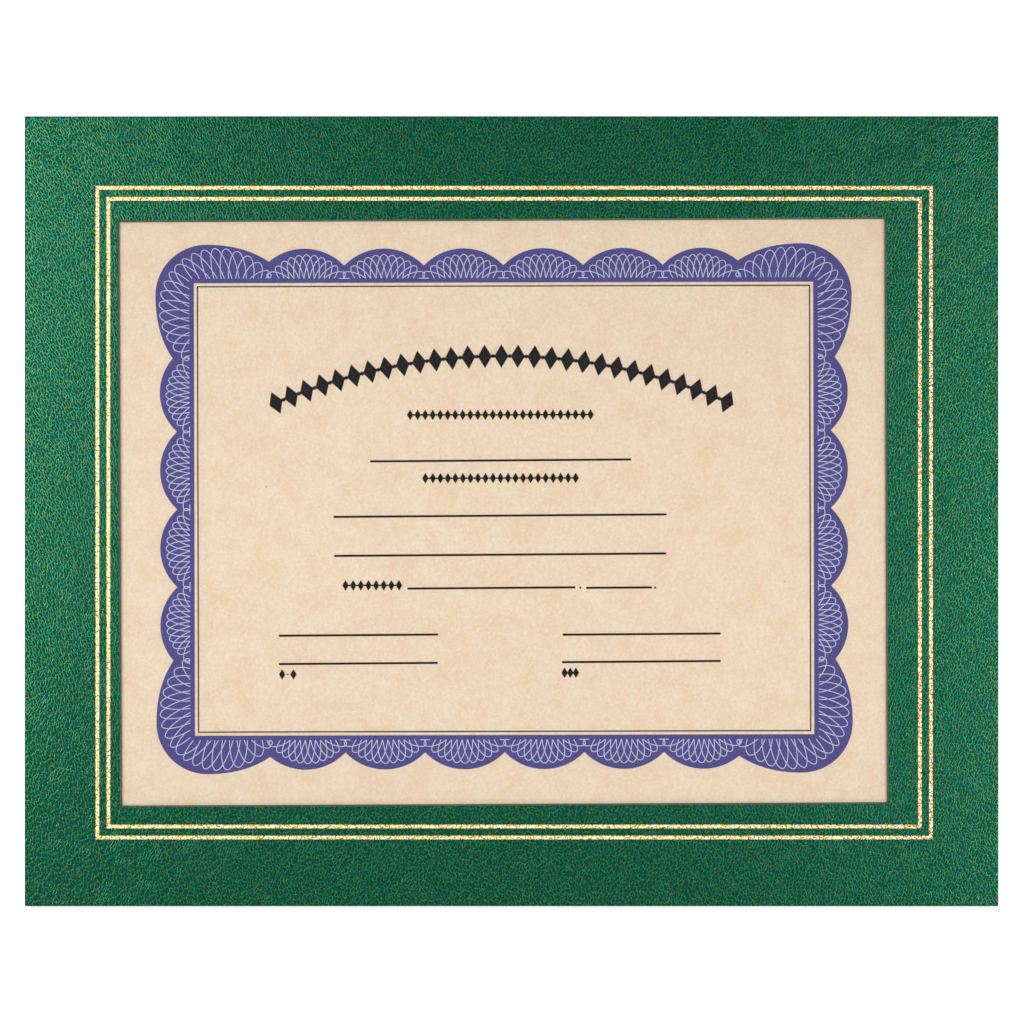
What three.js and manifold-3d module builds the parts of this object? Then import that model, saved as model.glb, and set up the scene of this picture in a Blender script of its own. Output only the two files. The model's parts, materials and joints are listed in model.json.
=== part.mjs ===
// A certificate holder: a paperboard frame wrapped in leather-grain sheet, with a clear window, a pocket
// for a letter-size sheet that opens at the top, a hinged easel leg with a ribbon stay and a wall hanger.
//
// Lengths are millimetres. The holder stands on its lower edge and its leg, leaning back, with its front
// towards -Y, +X to the viewer's right and +Z up. The origin is under the middle of the whole object.
//
// The frame is modelled flat, as it is made: x across, y up the frame, z out of its front. Depths are
// counted backwards from the front face, and heights outwards from the back face.

import * as THREE from 'three';
import { ConvexGeometry } from 'three/addons/geometries/ConvexGeometry.js';
import { mergeVertices } from 'three/addons/utils/BufferGeometryUtils.js';
import Module from 'manifold-3d';

const wasm = await Module();
wasm.setup();

// The sheet that the holder is made for, and the border round it
const PAPER_WIDTH = 279.4;
const PAPER_HEIGHT = 215.9;
const PAPER_THICKNESS = 0.25;
const FRAME_BORDER = 28.55;
const FRAME_WIDTH = PAPER_WIDTH + 2 * FRAME_BORDER;
const FRAME_HEIGHT = PAPER_HEIGHT + 2 * FRAME_BORDER;

// Window and foil lines, as cut and stamped
const WINDOW_LEFT_MARGIN = 32.6;
const WINDOW_RIGHT_MARGIN = 38.4;
const WINDOW_TOP_MARGIN = 35.6;
const WINDOW_BOTTOM_MARGIN = 34.8;
const WINDOW_TURN = THREE.MathUtils.degToRad(0.25);
const WINDOW_BEVEL = 0.5;
const FOIL_MARGIN = 24.25;
const FOIL_SHIFT_X = 0.9;
const FOIL_SHIFT_Y = -0.5;
const FOIL_WIDTH = 1.25;
const FOIL_PITCH = 3.8;
const FOIL_THICKNESS = 0.08;
const FOIL_GROOVE_DEPTH = 0.16;
const FOIL_SIDE_CLEARANCE = 0.05;

// Thickness of each layer, and the glue between two layers
const GLUE_LINE = 0.08;
const COVER_THICKNESS = 0.35;
const FRONT_BOARD_THICKNESS = 1.6;
const WINDOW_TAPE_THICKNESS = 0.08;
const WINDOW_SHEET_THICKNESS = 0.2;
const SPACER_THICKNESS = 1.1;
const BACK_COVER_THICKNESS = 0.3;
const BACK_BOARD_THICKNESS = 1.6;
const COVER_TURN_IN = 15;

// The pocket and how the sheet lies in it
const PAPER_TURN = THREE.MathUtils.degToRad(0.25);
const PAPER_RISE = 1.4;
const PAPER_SIDE_CLEARANCE = 0.9;
const PAPER_SEAT_GAP = 0.1;
const PAPER_WINDOW_GAP = 0.25;
const SHEET_OVERLAP = 7;
const TAPE_WIDTH = 5;
const TAPE_INSET = 0.8;
const TAPE_BREAK = 0.6;
const SPACER_INSET = 1;
const SPACER_BREAK = 0.3;
const LINER_EDGE_GAP = 0.8;
const THUMB_SLOT_WIDTH = 24;
const THUMB_SLOT_REACH = 9;

// How it stands
const FRAME_LEAN = THREE.MathUtils.degToRad(15);
const LEG_LEAN = THREE.MathUtils.degToRad(12);
const HINGE_FROM_TOP = 87;

// Easel leg
const LEG_TOP_WIDTH = 46;
const LEG_FOOT_WIDTH = 84;
const LEG_TOP_CORNER = 7;
const LEG_FOOT_CORNER = 2.5;
const LEG_ARCH_WIDTH = 44;
const LEG_ARCH_RISE = 9;
const LEG_BOARD_THICKNESS = 1.6;
const LEG_COVER_THICKNESS = 0.2;
const LEG_LINER_THICKNESS = 0.2;
const LEG_TURN_IN = 8;
const LEG_LINER_INSET = 4;
const LEG_FOLDED_GAP = 0.8;
const LEG_HINGE_CLEARANCE = 0.5;

// Hinge: two leaves rolled round one pin
const LEAF_THICKNESS = 0.7;
const LEAF_WIDTH = 38;
const LEAF_LENGTH = 17;
const LEAF_CORNER = 4;
const LEAF_SEAT_GAP = 0.1;
const KNUCKLE_COUNT = 5;
const KNUCKLE_GAP = 0.3;
const KNUCKLE_SLOT_CLEARANCE = 0.5;
const PIN_CLEARANCE = 0.08;
const PIN_HEAD_LENGTH = 0.8;
const PIN_HEAD_LIP = 0.55;
const PIN_HEAD_GAP = 0.15;
const ROLL_SEAM_ANGLE = THREE.MathUtils.degToRad(55);

// Rivets
const RIVET_SHANK_RADIUS = 1.5;
const RIVET_HEAD_RADIUS = 3.1;
const RIVET_HEAD_HEIGHT = 0.9;
const RIVET_BORE_RADIUS = 0.8;
const RIVET_FLANGE_RADIUS = 2.4;
const RIVET_FLANGE_THICKNESS = 0.35;
const RIVET_HOLE_CLEARANCE = 0.1;
const RIVET_SEAT_GAP = 0.05;
const RIVET_TAIL_SUNK = 0.12;
const RIVET_BORE_DEPTH = 1.1;
const RIVET_EDGE_MARGIN = 7.5;
const RIVET_SPACING = LEAF_WIDTH - 2 * RIVET_EDGE_MARGIN;
const RIVET_FROM_AXIS = 11;

// Ribbon stay
const RIBBON_WIDTH = 10;
const RIBBON_THICKNESS = 0.2;
const RIBBON_FROM_AXIS = 106;
const RIBBON_TAB = 12;
const RIBBON_SEAT_GAP = 0.08;

// Wall hanger
const HANGER_ABOVE_HINGE = 42;
const HANGER_STRAP_WIDTH = 9;
const HANGER_STRAP_LENGTH = 19;
const HANGER_STRAP_THICKNESS = 0.6;
const HANGER_STRAP_CORNER = 3.5;
const HANGER_RIVET_FROM_AXIS = 12;
const RING_WIRE_RADIUS = 0.85;
const RING_WIRE_CLEARANCE = 0.12;
const RING_HALF_WIDTH = 8.5;
const RING_LENGTH = 14.5;
const RING_CORNER = 2.6;
const RING_TIP_CORNER = 5;

// Levels, as depths behind the front face
const BOARD_INSET = COVER_THICKNESS + GLUE_LINE;
const FRONT_BOARD_FRONT = BOARD_INSET;
const FRONT_BOARD_BACK = FRONT_BOARD_FRONT + FRONT_BOARD_THICKNESS;
const FRONT_PANEL_BACK = FRONT_BOARD_BACK + BOARD_INSET;
const TAPE_FRONT = FRONT_BOARD_BACK + GLUE_LINE / 2;
const SHEET_FRONT = TAPE_FRONT + WINDOW_TAPE_THICKNESS + GLUE_LINE / 2;
const SHEET_BACK = SHEET_FRONT + WINDOW_SHEET_THICKNESS;
const POCKET_FRONT = Math.max(FRONT_PANEL_BACK, SHEET_BACK);
const SPACER_FRONT = POCKET_FRONT + GLUE_LINE;
const BACK_PANEL_FRONT = SPACER_FRONT + SPACER_THICKNESS + GLUE_LINE;
const BACK_BOARD_INSET = BACK_COVER_THICKNESS + GLUE_LINE;
const BACK_BOARD_FRONT = BACK_PANEL_FRONT + BACK_BOARD_INSET;
const BACK_BOARD_BACK = BACK_BOARD_FRONT + BACK_BOARD_THICKNESS;
const FRAME_DEPTH = BACK_BOARD_BACK + BACK_BOARD_INSET;

// Places on the frame, from its middle
const FRAME_TOP = FRAME_HEIGHT / 2;
const WINDOW_WIDTH = FRAME_WIDTH - WINDOW_LEFT_MARGIN - WINDOW_RIGHT_MARGIN;
const WINDOW_HEIGHT = FRAME_HEIGHT - WINDOW_TOP_MARGIN - WINDOW_BOTTOM_MARGIN;
const WINDOW_X = (WINDOW_LEFT_MARGIN - WINDOW_RIGHT_MARGIN) / 2;
const WINDOW_Y = (WINDOW_BOTTOM_MARGIN - WINDOW_TOP_MARGIN) / 2;
const PAPER_Y = WINDOW_Y + PAPER_RISE;
const PAPER_SPAN = PAPER_WIDTH * Math.cos(PAPER_TURN) + PAPER_HEIGHT * Math.sin(PAPER_TURN);
const PAPER_DROP = (PAPER_HEIGHT * Math.cos(PAPER_TURN) + PAPER_WIDTH * Math.sin(PAPER_TURN)) / 2;
const POCKET_WIDTH = PAPER_SPAN + 2 * PAPER_SIDE_CLEARANCE;
const POCKET_FLOOR = PAPER_Y - PAPER_DROP - PAPER_SEAT_GAP;
const HINGE_HEIGHT = FRAME_HEIGHT - HINGE_FROM_TOP;
const HINGE_Y = FRAME_TOP - HINGE_FROM_TOP;

// Levels of the folded leg, as heights above the back face, and the barrel that fits between them
const LEG_BOARD_INSET = LEG_COVER_THICKNESS + GLUE_LINE;
const LEG_LINER_BASE = LEG_FOLDED_GAP;
const LEG_BASE = LEG_LINER_BASE + LEG_LINER_THICKNESS + GLUE_LINE;
const LEG_BOARD_BASE = LEG_BASE + LEG_BOARD_INSET;
const LEG_BOARD_TOP = LEG_BOARD_BASE + LEG_BOARD_THICKNESS;
const LEG_TOP = LEG_BOARD_TOP + LEG_BOARD_INSET;
const LEG_LEAF_BASE = LEG_TOP + LEAF_SEAT_GAP;
const BARREL_RADIUS = (LEG_LEAF_BASE + LEAF_THICKNESS - LEAF_SEAT_GAP) / 2;
const PIN_RADIUS = BARREL_RADIUS - LEAF_THICKNESS - PIN_CLEARANCE;
const AXIS_HEIGHT = LEAF_SEAT_GAP + BARREL_RADIUS;
const LEG_START = BARREL_RADIUS + LEG_HINGE_CLEARANCE;
const LEG_OPENING = FRAME_LEAN + LEG_LEAN;

// Hanger: its strap is folded round the ring's wire, above the hinge
const LOOP_RADIUS = RING_WIRE_RADIUS + RING_WIRE_CLEARANCE + HANGER_STRAP_THICKNESS;
const HANGER_Y = HINGE_Y + HANGER_ABOVE_HINGE;
const HANGER_AXIS_HEIGHT = LEAF_SEAT_GAP + LOOP_RADIUS;

// The leg reaches the table from the axis: its inner lower edge is what stands there
const AXIS_ABOVE_TABLE = HINGE_HEIGHT * Math.cos(FRAME_LEAN) - AXIS_HEIGHT * Math.sin(FRAME_LEAN);
const LEG_INNER_OFFSET = AXIS_HEIGHT - LEG_BASE;
const LEG_LENGTH = (AXIS_ABOVE_TABLE - LEG_INNER_OFFSET * Math.sin(LEG_LEAN)) / Math.cos(LEG_LEAN);

// Facets
const ARC_SEGMENTS = 24;
const TURNED_SEGMENTS = 28;
const WIRE_STEPS = 72;
const WIRE_SIDES = 12;
const CUT_MARGIN = 5;

const finish = (color, roughness, metalness = 0) =>
  new THREE.MeshStandardMaterial({ color, roughness, metalness });
const LEATHERETTE = finish('#1f6b49', 0.5);
const GREYBOARD = finish('#8f8a78', 0.95);
const FOIL = finish('#e8cf7c', 0.3, 1);
const CLEAR = new THREE.MeshStandardMaterial({
  color: '#f4f7f7', roughness: 0.08, metalness: 0, transparent: true, opacity: 0.2,
});
const TAPE = finish('#e9e4d2', 0.6);
const PARCHMENT = finish('#ead5ba', 0.85);
const CARD = finish('#b3a98f', 0.95);
const LINING = finish('#2a2a2b', 0.8);
const BACK_PAPER = finish('#1d1e1f', 0.7);
const STEEL = finish('#c8c6bf', 0.32, 1);
const BRASS = finish('#c9a24a', 0.3, 1);
const RIBBON = finish('#222324', 0.55);

// A closed geometry as a solid that can be joined and cut
function solid(geometry) {
  const bare = geometry.clone();
  bare.deleteAttribute('normal');
  bare.deleteAttribute('uv');
  const merged = mergeVertices(bare, 1e-5);
  return new wasm.Manifold(new wasm.Mesh({
    numProp: 3,
    vertProperties: new Float32Array(merged.attributes.position.array),
    triVerts: new Uint32Array(merged.index.array),
  }));
}

function geometryOf(body) {
  const { numProp, vertProperties, triVerts } = body.getMesh();
  const geometry = new THREE.BufferGeometry();
  const position = new THREE.InterleavedBuffer(vertProperties, numProp);
  geometry.setAttribute('position', new THREE.InterleavedBufferAttribute(position, 3, 0));
  geometry.setIndex(new THREE.BufferAttribute(triVerts, 1));
  const flat = geometry.toNonIndexed();
  flat.computeVertexNormals();
  return flat;
}

function piece(name, shape, material) {
  const geometry = shape instanceof THREE.BufferGeometry ? shape : geometryOf(shape);
  const mesh = new THREE.Mesh(geometry, material);
  mesh.name = name;
  return mesh;
}

// Outlines

function rectangle(width, height, x = 0, y = 0, turn = 0) {
  const corners = [[-1, -1], [1, -1], [1, 1], [-1, 1]].map(([i, j]) =>
    new THREE.Vector2((i * width) / 2, (j * height) / 2)
      .rotateAround(new THREE.Vector2(), turn)
      .add(new THREE.Vector2(x, y)));
  return new THREE.Shape(corners);
}

function roundedCorner(path, before, corner, after, radius) {
  const start = corner.clone().add(before.clone().sub(corner).setLength(radius));
  const end = corner.clone().add(after.clone().sub(corner).setLength(radius));
  path.lineTo(start.x, start.y);
  path.quadraticCurveTo(corner.x, corner.y, end.x, end.y);
}

function roundedRectangle(width, height, radius, x = 0, y = 0) {
  const corners = [[-1, -1], [1, -1], [1, 1], [-1, 1]].map(([i, j]) =>
    new THREE.Vector2(x + (i * width) / 2, y + (j * height) / 2));
  const shape = new THREE.Shape();
  shape.moveTo(x, corners[0].y);
  roundedCorner(shape, corners[0], corners[1], corners[2], radius);
  roundedCorner(shape, corners[1], corners[2], corners[3], radius);
  roundedCorner(shape, corners[2], corners[3], corners[0], radius);
  roundedCorner(shape, corners[3], corners[0], corners[1], radius);
  return shape;
}

function withHoles(shape, holes) {
  shape.holes.push(...holes);
  return shape;
}

// Extrusions

function extruded(shape, depth, curveSegments = 8) {
  return new THREE.ExtrudeGeometry(shape, { depth, bevelEnabled: false, curveSegments });
}

// A flat layer of the frame between two depths behind its front face
function layer(shape, front, back) {
  return extruded(shape, back - front).translate(0, 0, -back);
}

// A flat layer behind the back face, between two heights above it
function backLayer(shape, base, top, curveSegments = 8) {
  return extruded(shape, top - base, curveSegments).translate(0, 0, -FRAME_DEPTH - top);
}

// A section drawn in (y, height above the back face), run along x
function backSection(shape, width) {
  const across = new THREE.Matrix4().makeBasis(
    new THREE.Vector3(0, 1, 0), new THREE.Vector3(0, 0, -1), new THREE.Vector3(-1, 0, 0));
  return extruded(shape, width, ARC_SEGMENTS)
    .applyMatrix4(across)
    .translate(width / 2, 0, -FRAME_DEPTH);
}

// A turned piece whose axis stands on the back face: its profile is drawn in (radius, height)
function backTurned(profile, x, y, base) {
  const points = profile.map(([radius, height]) => new THREE.Vector2(radius, height));
  return new THREE.LatheGeometry(points, TURNED_SEGMENTS)
    .rotateX(-Math.PI / 2)
    .translate(x, y, -FRAME_DEPTH - base);
}

// A round cut square to the back face, between two heights
function backDrill(radius, x, y, base, top) {
  return solid(backTurned([[0, 0], [radius, 0], [radius, top - base], [0, top - base]], x, y, base));
}

function cutAll(body, cutters) {
  return cutters.reduce((left, cutter) => left.subtract(cutter), body);
}

// A hole whose walls taper evenly from one outline to another, cut past both faces of its board
function taperedCut(width, height, x, y, turn, front, back, bevel) {
  const slope = bevel / (back - front);
  const corners = [front - CUT_MARGIN, back + CUT_MARGIN].flatMap((depth) => {
    const shrink = 2 * slope * (depth - front);
    const outline = rectangle(width - shrink, height - shrink, x, y, turn);
    return outline.getPoints().slice(0, 4).map((point) => new THREE.Vector3(point.x, point.y, -depth));
  });
  return solid(new ConvexGeometry(corners));
}

// Front panel

function windowOutline() {
  return rectangle(WINDOW_WIDTH, WINDOW_HEIGHT, WINDOW_X, WINDOW_Y, WINDOW_TURN);
}

// One line of the foil frame, as a ring of a given width whose middle runs inside the outer line
function foilRing(inset, width) {
  const lineWidth = FRAME_WIDTH - 2 * (FOIL_MARGIN + inset);
  const lineHeight = FRAME_HEIGHT - 2 * (FOIL_MARGIN + inset);
  const outer = rectangle(lineWidth + width, lineHeight + width, FOIL_SHIFT_X, FOIL_SHIFT_Y);
  const inner = rectangle(lineWidth - width, lineHeight - width, FOIL_SHIFT_X, FOIL_SHIFT_Y);
  return withHoles(outer, [inner]);
}

function foilLine(name, inset) {
  const bottom = FOIL_GROOVE_DEPTH - GLUE_LINE / 2;
  return piece(name, layer(foilRing(inset, FOIL_WIDTH), bottom - FOIL_THICKNESS, bottom), FOIL);
}

function frontPanel() {
  const board = solid(layer(
    rectangle(FRAME_WIDTH - 2 * BOARD_INSET, FRAME_HEIGHT - 2 * BOARD_INSET),
    FRONT_BOARD_FRONT, FRONT_BOARD_BACK,
  )).subtract(taperedCut(WINDOW_WIDTH, WINDOW_HEIGHT, WINDOW_X, WINDOW_Y, WINDOW_TURN,
    FRONT_BOARD_FRONT, FRONT_BOARD_BACK, WINDOW_BEVEL));

  const inner = 2 * COVER_THICKNESS;
  const grooves = [0, FOIL_PITCH].map((inset) => solid(layer(
    foilRing(inset, FOIL_WIDTH + 2 * FOIL_SIDE_CLEARANCE), -CUT_MARGIN, FOIL_GROOVE_DEPTH)));
  const cover = cutAll(
    solid(layer(rectangle(FRAME_WIDTH, FRAME_HEIGHT), 0, FRONT_PANEL_BACK)),
    [
      solid(layer(rectangle(FRAME_WIDTH - inner, FRAME_HEIGHT - inner),
        COVER_THICKNESS, FRONT_PANEL_BACK - COVER_THICKNESS)),
      solid(layer(rectangle(FRAME_WIDTH - 2 * COVER_TURN_IN, FRAME_HEIGHT - 2 * COVER_TURN_IN),
        FRONT_BOARD_BACK, FRONT_PANEL_BACK + CUT_MARGIN)),
      solid(layer(windowOutline(), -CUT_MARGIN, FRONT_BOARD_BACK)),
      ...grooves,
    ],
  );

  return [
    piece('front_board', board, GREYBOARD),
    piece('front_cover', cover, LEATHERETTE),
    foilLine('outer_foil_line', 0),
    foilLine('inner_foil_line', FOIL_PITCH),
  ];
}

function windowPieces() {
  const width = WINDOW_WIDTH + 2 * SHEET_OVERLAP;
  const height = WINDOW_HEIGHT + 2 * SHEET_OVERLAP;
  const sheet = layer(rectangle(width, height, WINDOW_X, WINDOW_Y), SHEET_FRONT, SHEET_BACK);
  const strip = (name, stripWidth, stripHeight, x, y) =>
    piece(name, layer(rectangle(stripWidth, stripHeight, WINDOW_X + x, WINDOW_Y + y),
      TAPE_FRONT, TAPE_FRONT + WINDOW_TAPE_THICKNESS), TAPE);
  const acrossX = width / 2 - TAPE_INSET - TAPE_WIDTH / 2;
  const acrossY = height / 2 - TAPE_INSET - TAPE_WIDTH / 2;
  const longStrip = width - 2 * TAPE_INSET;
  const shortStrip = height - 2 * (TAPE_INSET + TAPE_WIDTH + TAPE_BREAK);
  return [
    piece('window_sheet', sheet, CLEAR),
    strip('window_tape_top', longStrip, TAPE_WIDTH, 0, acrossY),
    strip('window_tape_bottom', longStrip, TAPE_WIDTH, 0, -acrossY),
    strip('window_tape_left', TAPE_WIDTH, shortStrip, -acrossX, 0),
    strip('window_tape_right', TAPE_WIDTH, shortStrip, acrossX, 0),
  ];
}

// Pocket

function certificate() {
  const front = SHEET_BACK + PAPER_WINDOW_GAP;
  const outline = rectangle(PAPER_WIDTH, PAPER_HEIGHT, WINDOW_X, PAPER_Y, PAPER_TURN);
  return piece('certificate', layer(outline, front, front + PAPER_THICKNESS), PARCHMENT);
}

function spacers() {
  const outerX = FRAME_WIDTH / 2 - SPACER_INSET;
  const outerY = FRAME_TOP - SPACER_INSET;
  const left = WINDOW_X - POCKET_WIDTH / 2;
  const right = WINDOW_X + POCKET_WIDTH / 2;
  const strip = (name, x1, x2, y1, y2) => piece(name, layer(
    rectangle(x2 - x1, y2 - y1, (x1 + x2) / 2, (y1 + y2) / 2),
    SPACER_FRONT, SPACER_FRONT + SPACER_THICKNESS), CARD);
  return [
    strip('spacer_left', -outerX, left, -outerY, outerY),
    strip('spacer_right', right, outerX, -outerY, outerY),
    strip('spacer_bottom', left + SPACER_BREAK, right - SPACER_BREAK, -outerY, POCKET_FLOOR),
  ];
}

// Back panel

// A slot in the mouth of the pocket, down past the upper edge of the paper, to draw it out by
function thumbSlot() {
  const radius = THUMB_SLOT_WIDTH / 2;
  const end = PAPER_Y + PAPER_HEIGHT / 2 - THUMB_SLOT_REACH;
  const outline = new THREE.Shape();
  outline.moveTo(radius, FRAME_TOP + CUT_MARGIN);
  outline.lineTo(-radius, FRAME_TOP + CUT_MARGIN);
  outline.absarc(0, end + radius, radius, Math.PI, 2 * Math.PI, false);
  return solid(extruded(outline, FRAME_DEPTH - BACK_PANEL_FRONT + 2 * CUT_MARGIN, ARC_SEGMENTS)
    .translate(0, 0, -FRAME_DEPTH - CUT_MARGIN));
}

// Where the rivets go through the back panel
function backRivetPlaces() {
  return [
    [-RIVET_SPACING / 2, HINGE_Y + RIVET_FROM_AXIS],
    [RIVET_SPACING / 2, HINGE_Y + RIVET_FROM_AXIS],
    [0, HANGER_Y - HANGER_RIVET_FROM_AXIS],
  ];
}

function shankHole(x, y, base, top) {
  return backDrill(RIVET_SHANK_RADIUS + RIVET_HOLE_CLEARANCE, x, y, base, top);
}

// The recess that a rivet's flared tail is pressed into, open on the board's inner face
function tailRecess(x, y, base) {
  const depth = RIVET_TAIL_SUNK + RIVET_FLANGE_THICKNESS + RIVET_HOLE_CLEARANCE;
  return backDrill(RIVET_FLANGE_RADIUS + RIVET_HOLE_CLEARANCE, x, y, base - CUT_MARGIN, base + depth);
}

function backPanel() {
  const boardBase = BACK_BOARD_FRONT - FRAME_DEPTH;
  const holes = backRivetPlaces().map(([x, y]) =>
    shankHole(x, y, boardBase - CUT_MARGIN, CUT_MARGIN));
  const recesses = backRivetPlaces().map(([x, y]) => tailRecess(x, y, boardBase));
  const board = cutAll(
    solid(layer(rectangle(FRAME_WIDTH - 2 * BACK_BOARD_INSET, FRAME_HEIGHT - 2 * BACK_BOARD_INSET),
      BACK_BOARD_FRONT, BACK_BOARD_BACK)),
    [thumbSlot(), ...holes, ...recesses],
  );
  const inner = 2 * BACK_COVER_THICKNESS;
  const cover = cutAll(
    solid(layer(rectangle(FRAME_WIDTH, FRAME_HEIGHT), BACK_PANEL_FRONT, FRAME_DEPTH)),
    [
      solid(layer(rectangle(FRAME_WIDTH - inner, FRAME_HEIGHT - inner),
        BACK_PANEL_FRONT + BACK_COVER_THICKNESS, FRAME_DEPTH - BACK_COVER_THICKNESS)),
      solid(layer(rectangle(FRAME_WIDTH - 2 * COVER_TURN_IN, FRAME_HEIGHT - 2 * COVER_TURN_IN),
        BACK_PANEL_FRONT - CUT_MARGIN, BACK_BOARD_FRONT)),
      thumbSlot(),
      ...holes,
    ],
  );
  const linerInset = COVER_TURN_IN + LINER_EDGE_GAP;
  const liner = solid(layer(
    rectangle(FRAME_WIDTH - 2 * linerInset, FRAME_HEIGHT - 2 * linerInset),
    BACK_PANEL_FRONT, BACK_BOARD_FRONT - GLUE_LINE,
  )).subtract(thumbSlot());
  return [
    piece('pocket_liner', liner, LINING),
    piece('back_board', board, GREYBOARD),
    piece('back_cover', cover, BACK_PAPER),
  ];
}

// Rolled sheet metal: a flat leaf whose end is rolled nearly closed round a pin.
// The section has the pin's middle at its origin and its leaf along +y, tangent under the roll.
function rolledSection(radius, thickness, length) {
  const shape = new THREE.Shape();
  const under = -Math.PI / 2;
  const lip = under + ROLL_SEAM_ANGLE;
  shape.moveTo(length, -radius + thickness);
  shape.lineTo(0, -radius + thickness);
  shape.absarc(0, 0, radius - thickness, under, lip, true);
  shape.lineTo(radius * Math.cos(lip), radius * Math.sin(lip));
  shape.absarc(0, 0, radius, lip, under + 2 * Math.PI, false);
  shape.lineTo(length, -radius);
  return shape;
}

// One hinge leaf, lying on the back face with its leaf towards +y from an axis at (0, 0, AXIS_HEIGHT)
function hingeLeaf(removedKnuckles) {
  const rolled = solid(
    backSection(rolledSection(BARREL_RADIUS, LEAF_THICKNESS, LEAF_LENGTH), LEAF_WIDTH)
      .translate(0, 0, -AXIS_HEIGHT));
  const outlineLength = LEAF_LENGTH + BARREL_RADIUS + LEAF_CORNER;
  const outline = solid(backLayer(
    roundedRectangle(LEAF_WIDTH, outlineLength, LEAF_CORNER, 0, LEAF_LENGTH - outlineLength / 2),
    -CUT_MARGIN, AXIS_HEIGHT + BARREL_RADIUS + CUT_MARGIN));
  const pitch = LEAF_WIDTH / KNUCKLE_COUNT;
  const slots = removedKnuckles.map((index) => {
    const middle = (index + 0.5) * pitch - LEAF_WIDTH / 2;
    const length = 2 * BARREL_RADIUS + KNUCKLE_SLOT_CLEARANCE + CUT_MARGIN;
    return solid(backLayer(
      rectangle(pitch + KNUCKLE_GAP, length, middle,
        BARREL_RADIUS + KNUCKLE_SLOT_CLEARANCE - length / 2),
      -CUT_MARGIN, AXIS_HEIGHT + BARREL_RADIUS + CUT_MARGIN));
  });
  const holes = [-1, 1].map((side) =>
    shankHole((side * RIVET_SPACING) / 2, RIVET_FROM_AXIS, -CUT_MARGIN, AXIS_HEIGHT));
  return cutAll(rolled.intersect(outline), [...slots, ...holes]);
}

function knuckles(parity) {
  return Array.from({ length: KNUCKLE_COUNT }, (_, index) => index)
    .filter((index) => index % 2 === parity);
}

function hingePin() {
  const half = LEAF_WIDTH / 2 + PIN_HEAD_GAP;
  const head = PIN_RADIUS + PIN_HEAD_LIP;
  const end = half + PIN_HEAD_LENGTH;
  const profile = [
    [0, -end], [PIN_RADIUS, -end], [head, -end + PIN_HEAD_LENGTH / 2], [head, -half],
    [PIN_RADIUS, -half], [PIN_RADIUS, half],
    [head, half], [head, end - PIN_HEAD_LENGTH / 2], [PIN_RADIUS, end], [0, end],
  ].map(([radius, along]) => new THREE.Vector2(radius, along));
  return new THREE.LatheGeometry(profile, TURNED_SEGMENTS).rotateZ(-Math.PI / 2);
}

// A semi-tubular rivet: domed head on the outside, hollow tail flared inside the board
function rivet(x, y, seat, tail) {
  const head = seat + RIVET_SEAT_GAP;
  const tailEnd = tail + RIVET_TAIL_SUNK;
  const dome = [0, 0.3, 0.55, 0.78, 0.93].map((share) => [
    RIVET_HEAD_RADIUS * Math.cos((share * Math.PI) / 2),
    head + RIVET_HEAD_HEIGHT * Math.sin((share * Math.PI) / 2)]);
  return backTurned([
    [0, tailEnd + RIVET_BORE_DEPTH],
    [RIVET_BORE_RADIUS, tailEnd + RIVET_BORE_DEPTH],
    [RIVET_BORE_RADIUS, tailEnd],
    [RIVET_FLANGE_RADIUS, tailEnd],
    [RIVET_FLANGE_RADIUS, tailEnd + RIVET_FLANGE_THICKNESS],
    [RIVET_SHANK_RADIUS, tailEnd + RIVET_FLANGE_THICKNESS],
    [RIVET_SHANK_RADIUS, head],
    ...dome,
    [0, head + RIVET_HEAD_HEIGHT],
  ], x, y, 0);
}

function hingeOnFrame() {
  const boardBase = BACK_BOARD_FRONT - FRAME_DEPTH;
  const seat = LEAF_SEAT_GAP + LEAF_THICKNESS;
  const [left, right] = backRivetPlaces();
  const leaf = hingeLeaf(knuckles(1)).translate([0, HINGE_Y, 0]);
  const pin = hingePin().translate(0, HINGE_Y, -FRAME_DEPTH - AXIS_HEIGHT);
  return [
    piece('hinge_back_leaf', leaf, STEEL),
    piece('hinge_pin', pin, STEEL),
    piece('back_leaf_rivet_left', rivet(...left, seat, boardBase), BRASS),
    piece('back_leaf_rivet_right', rivet(...right, seat, boardBase), BRASS),
  ];
}

// Easel leg, drawn folded against the back face with y counted from the hinge axis

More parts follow.
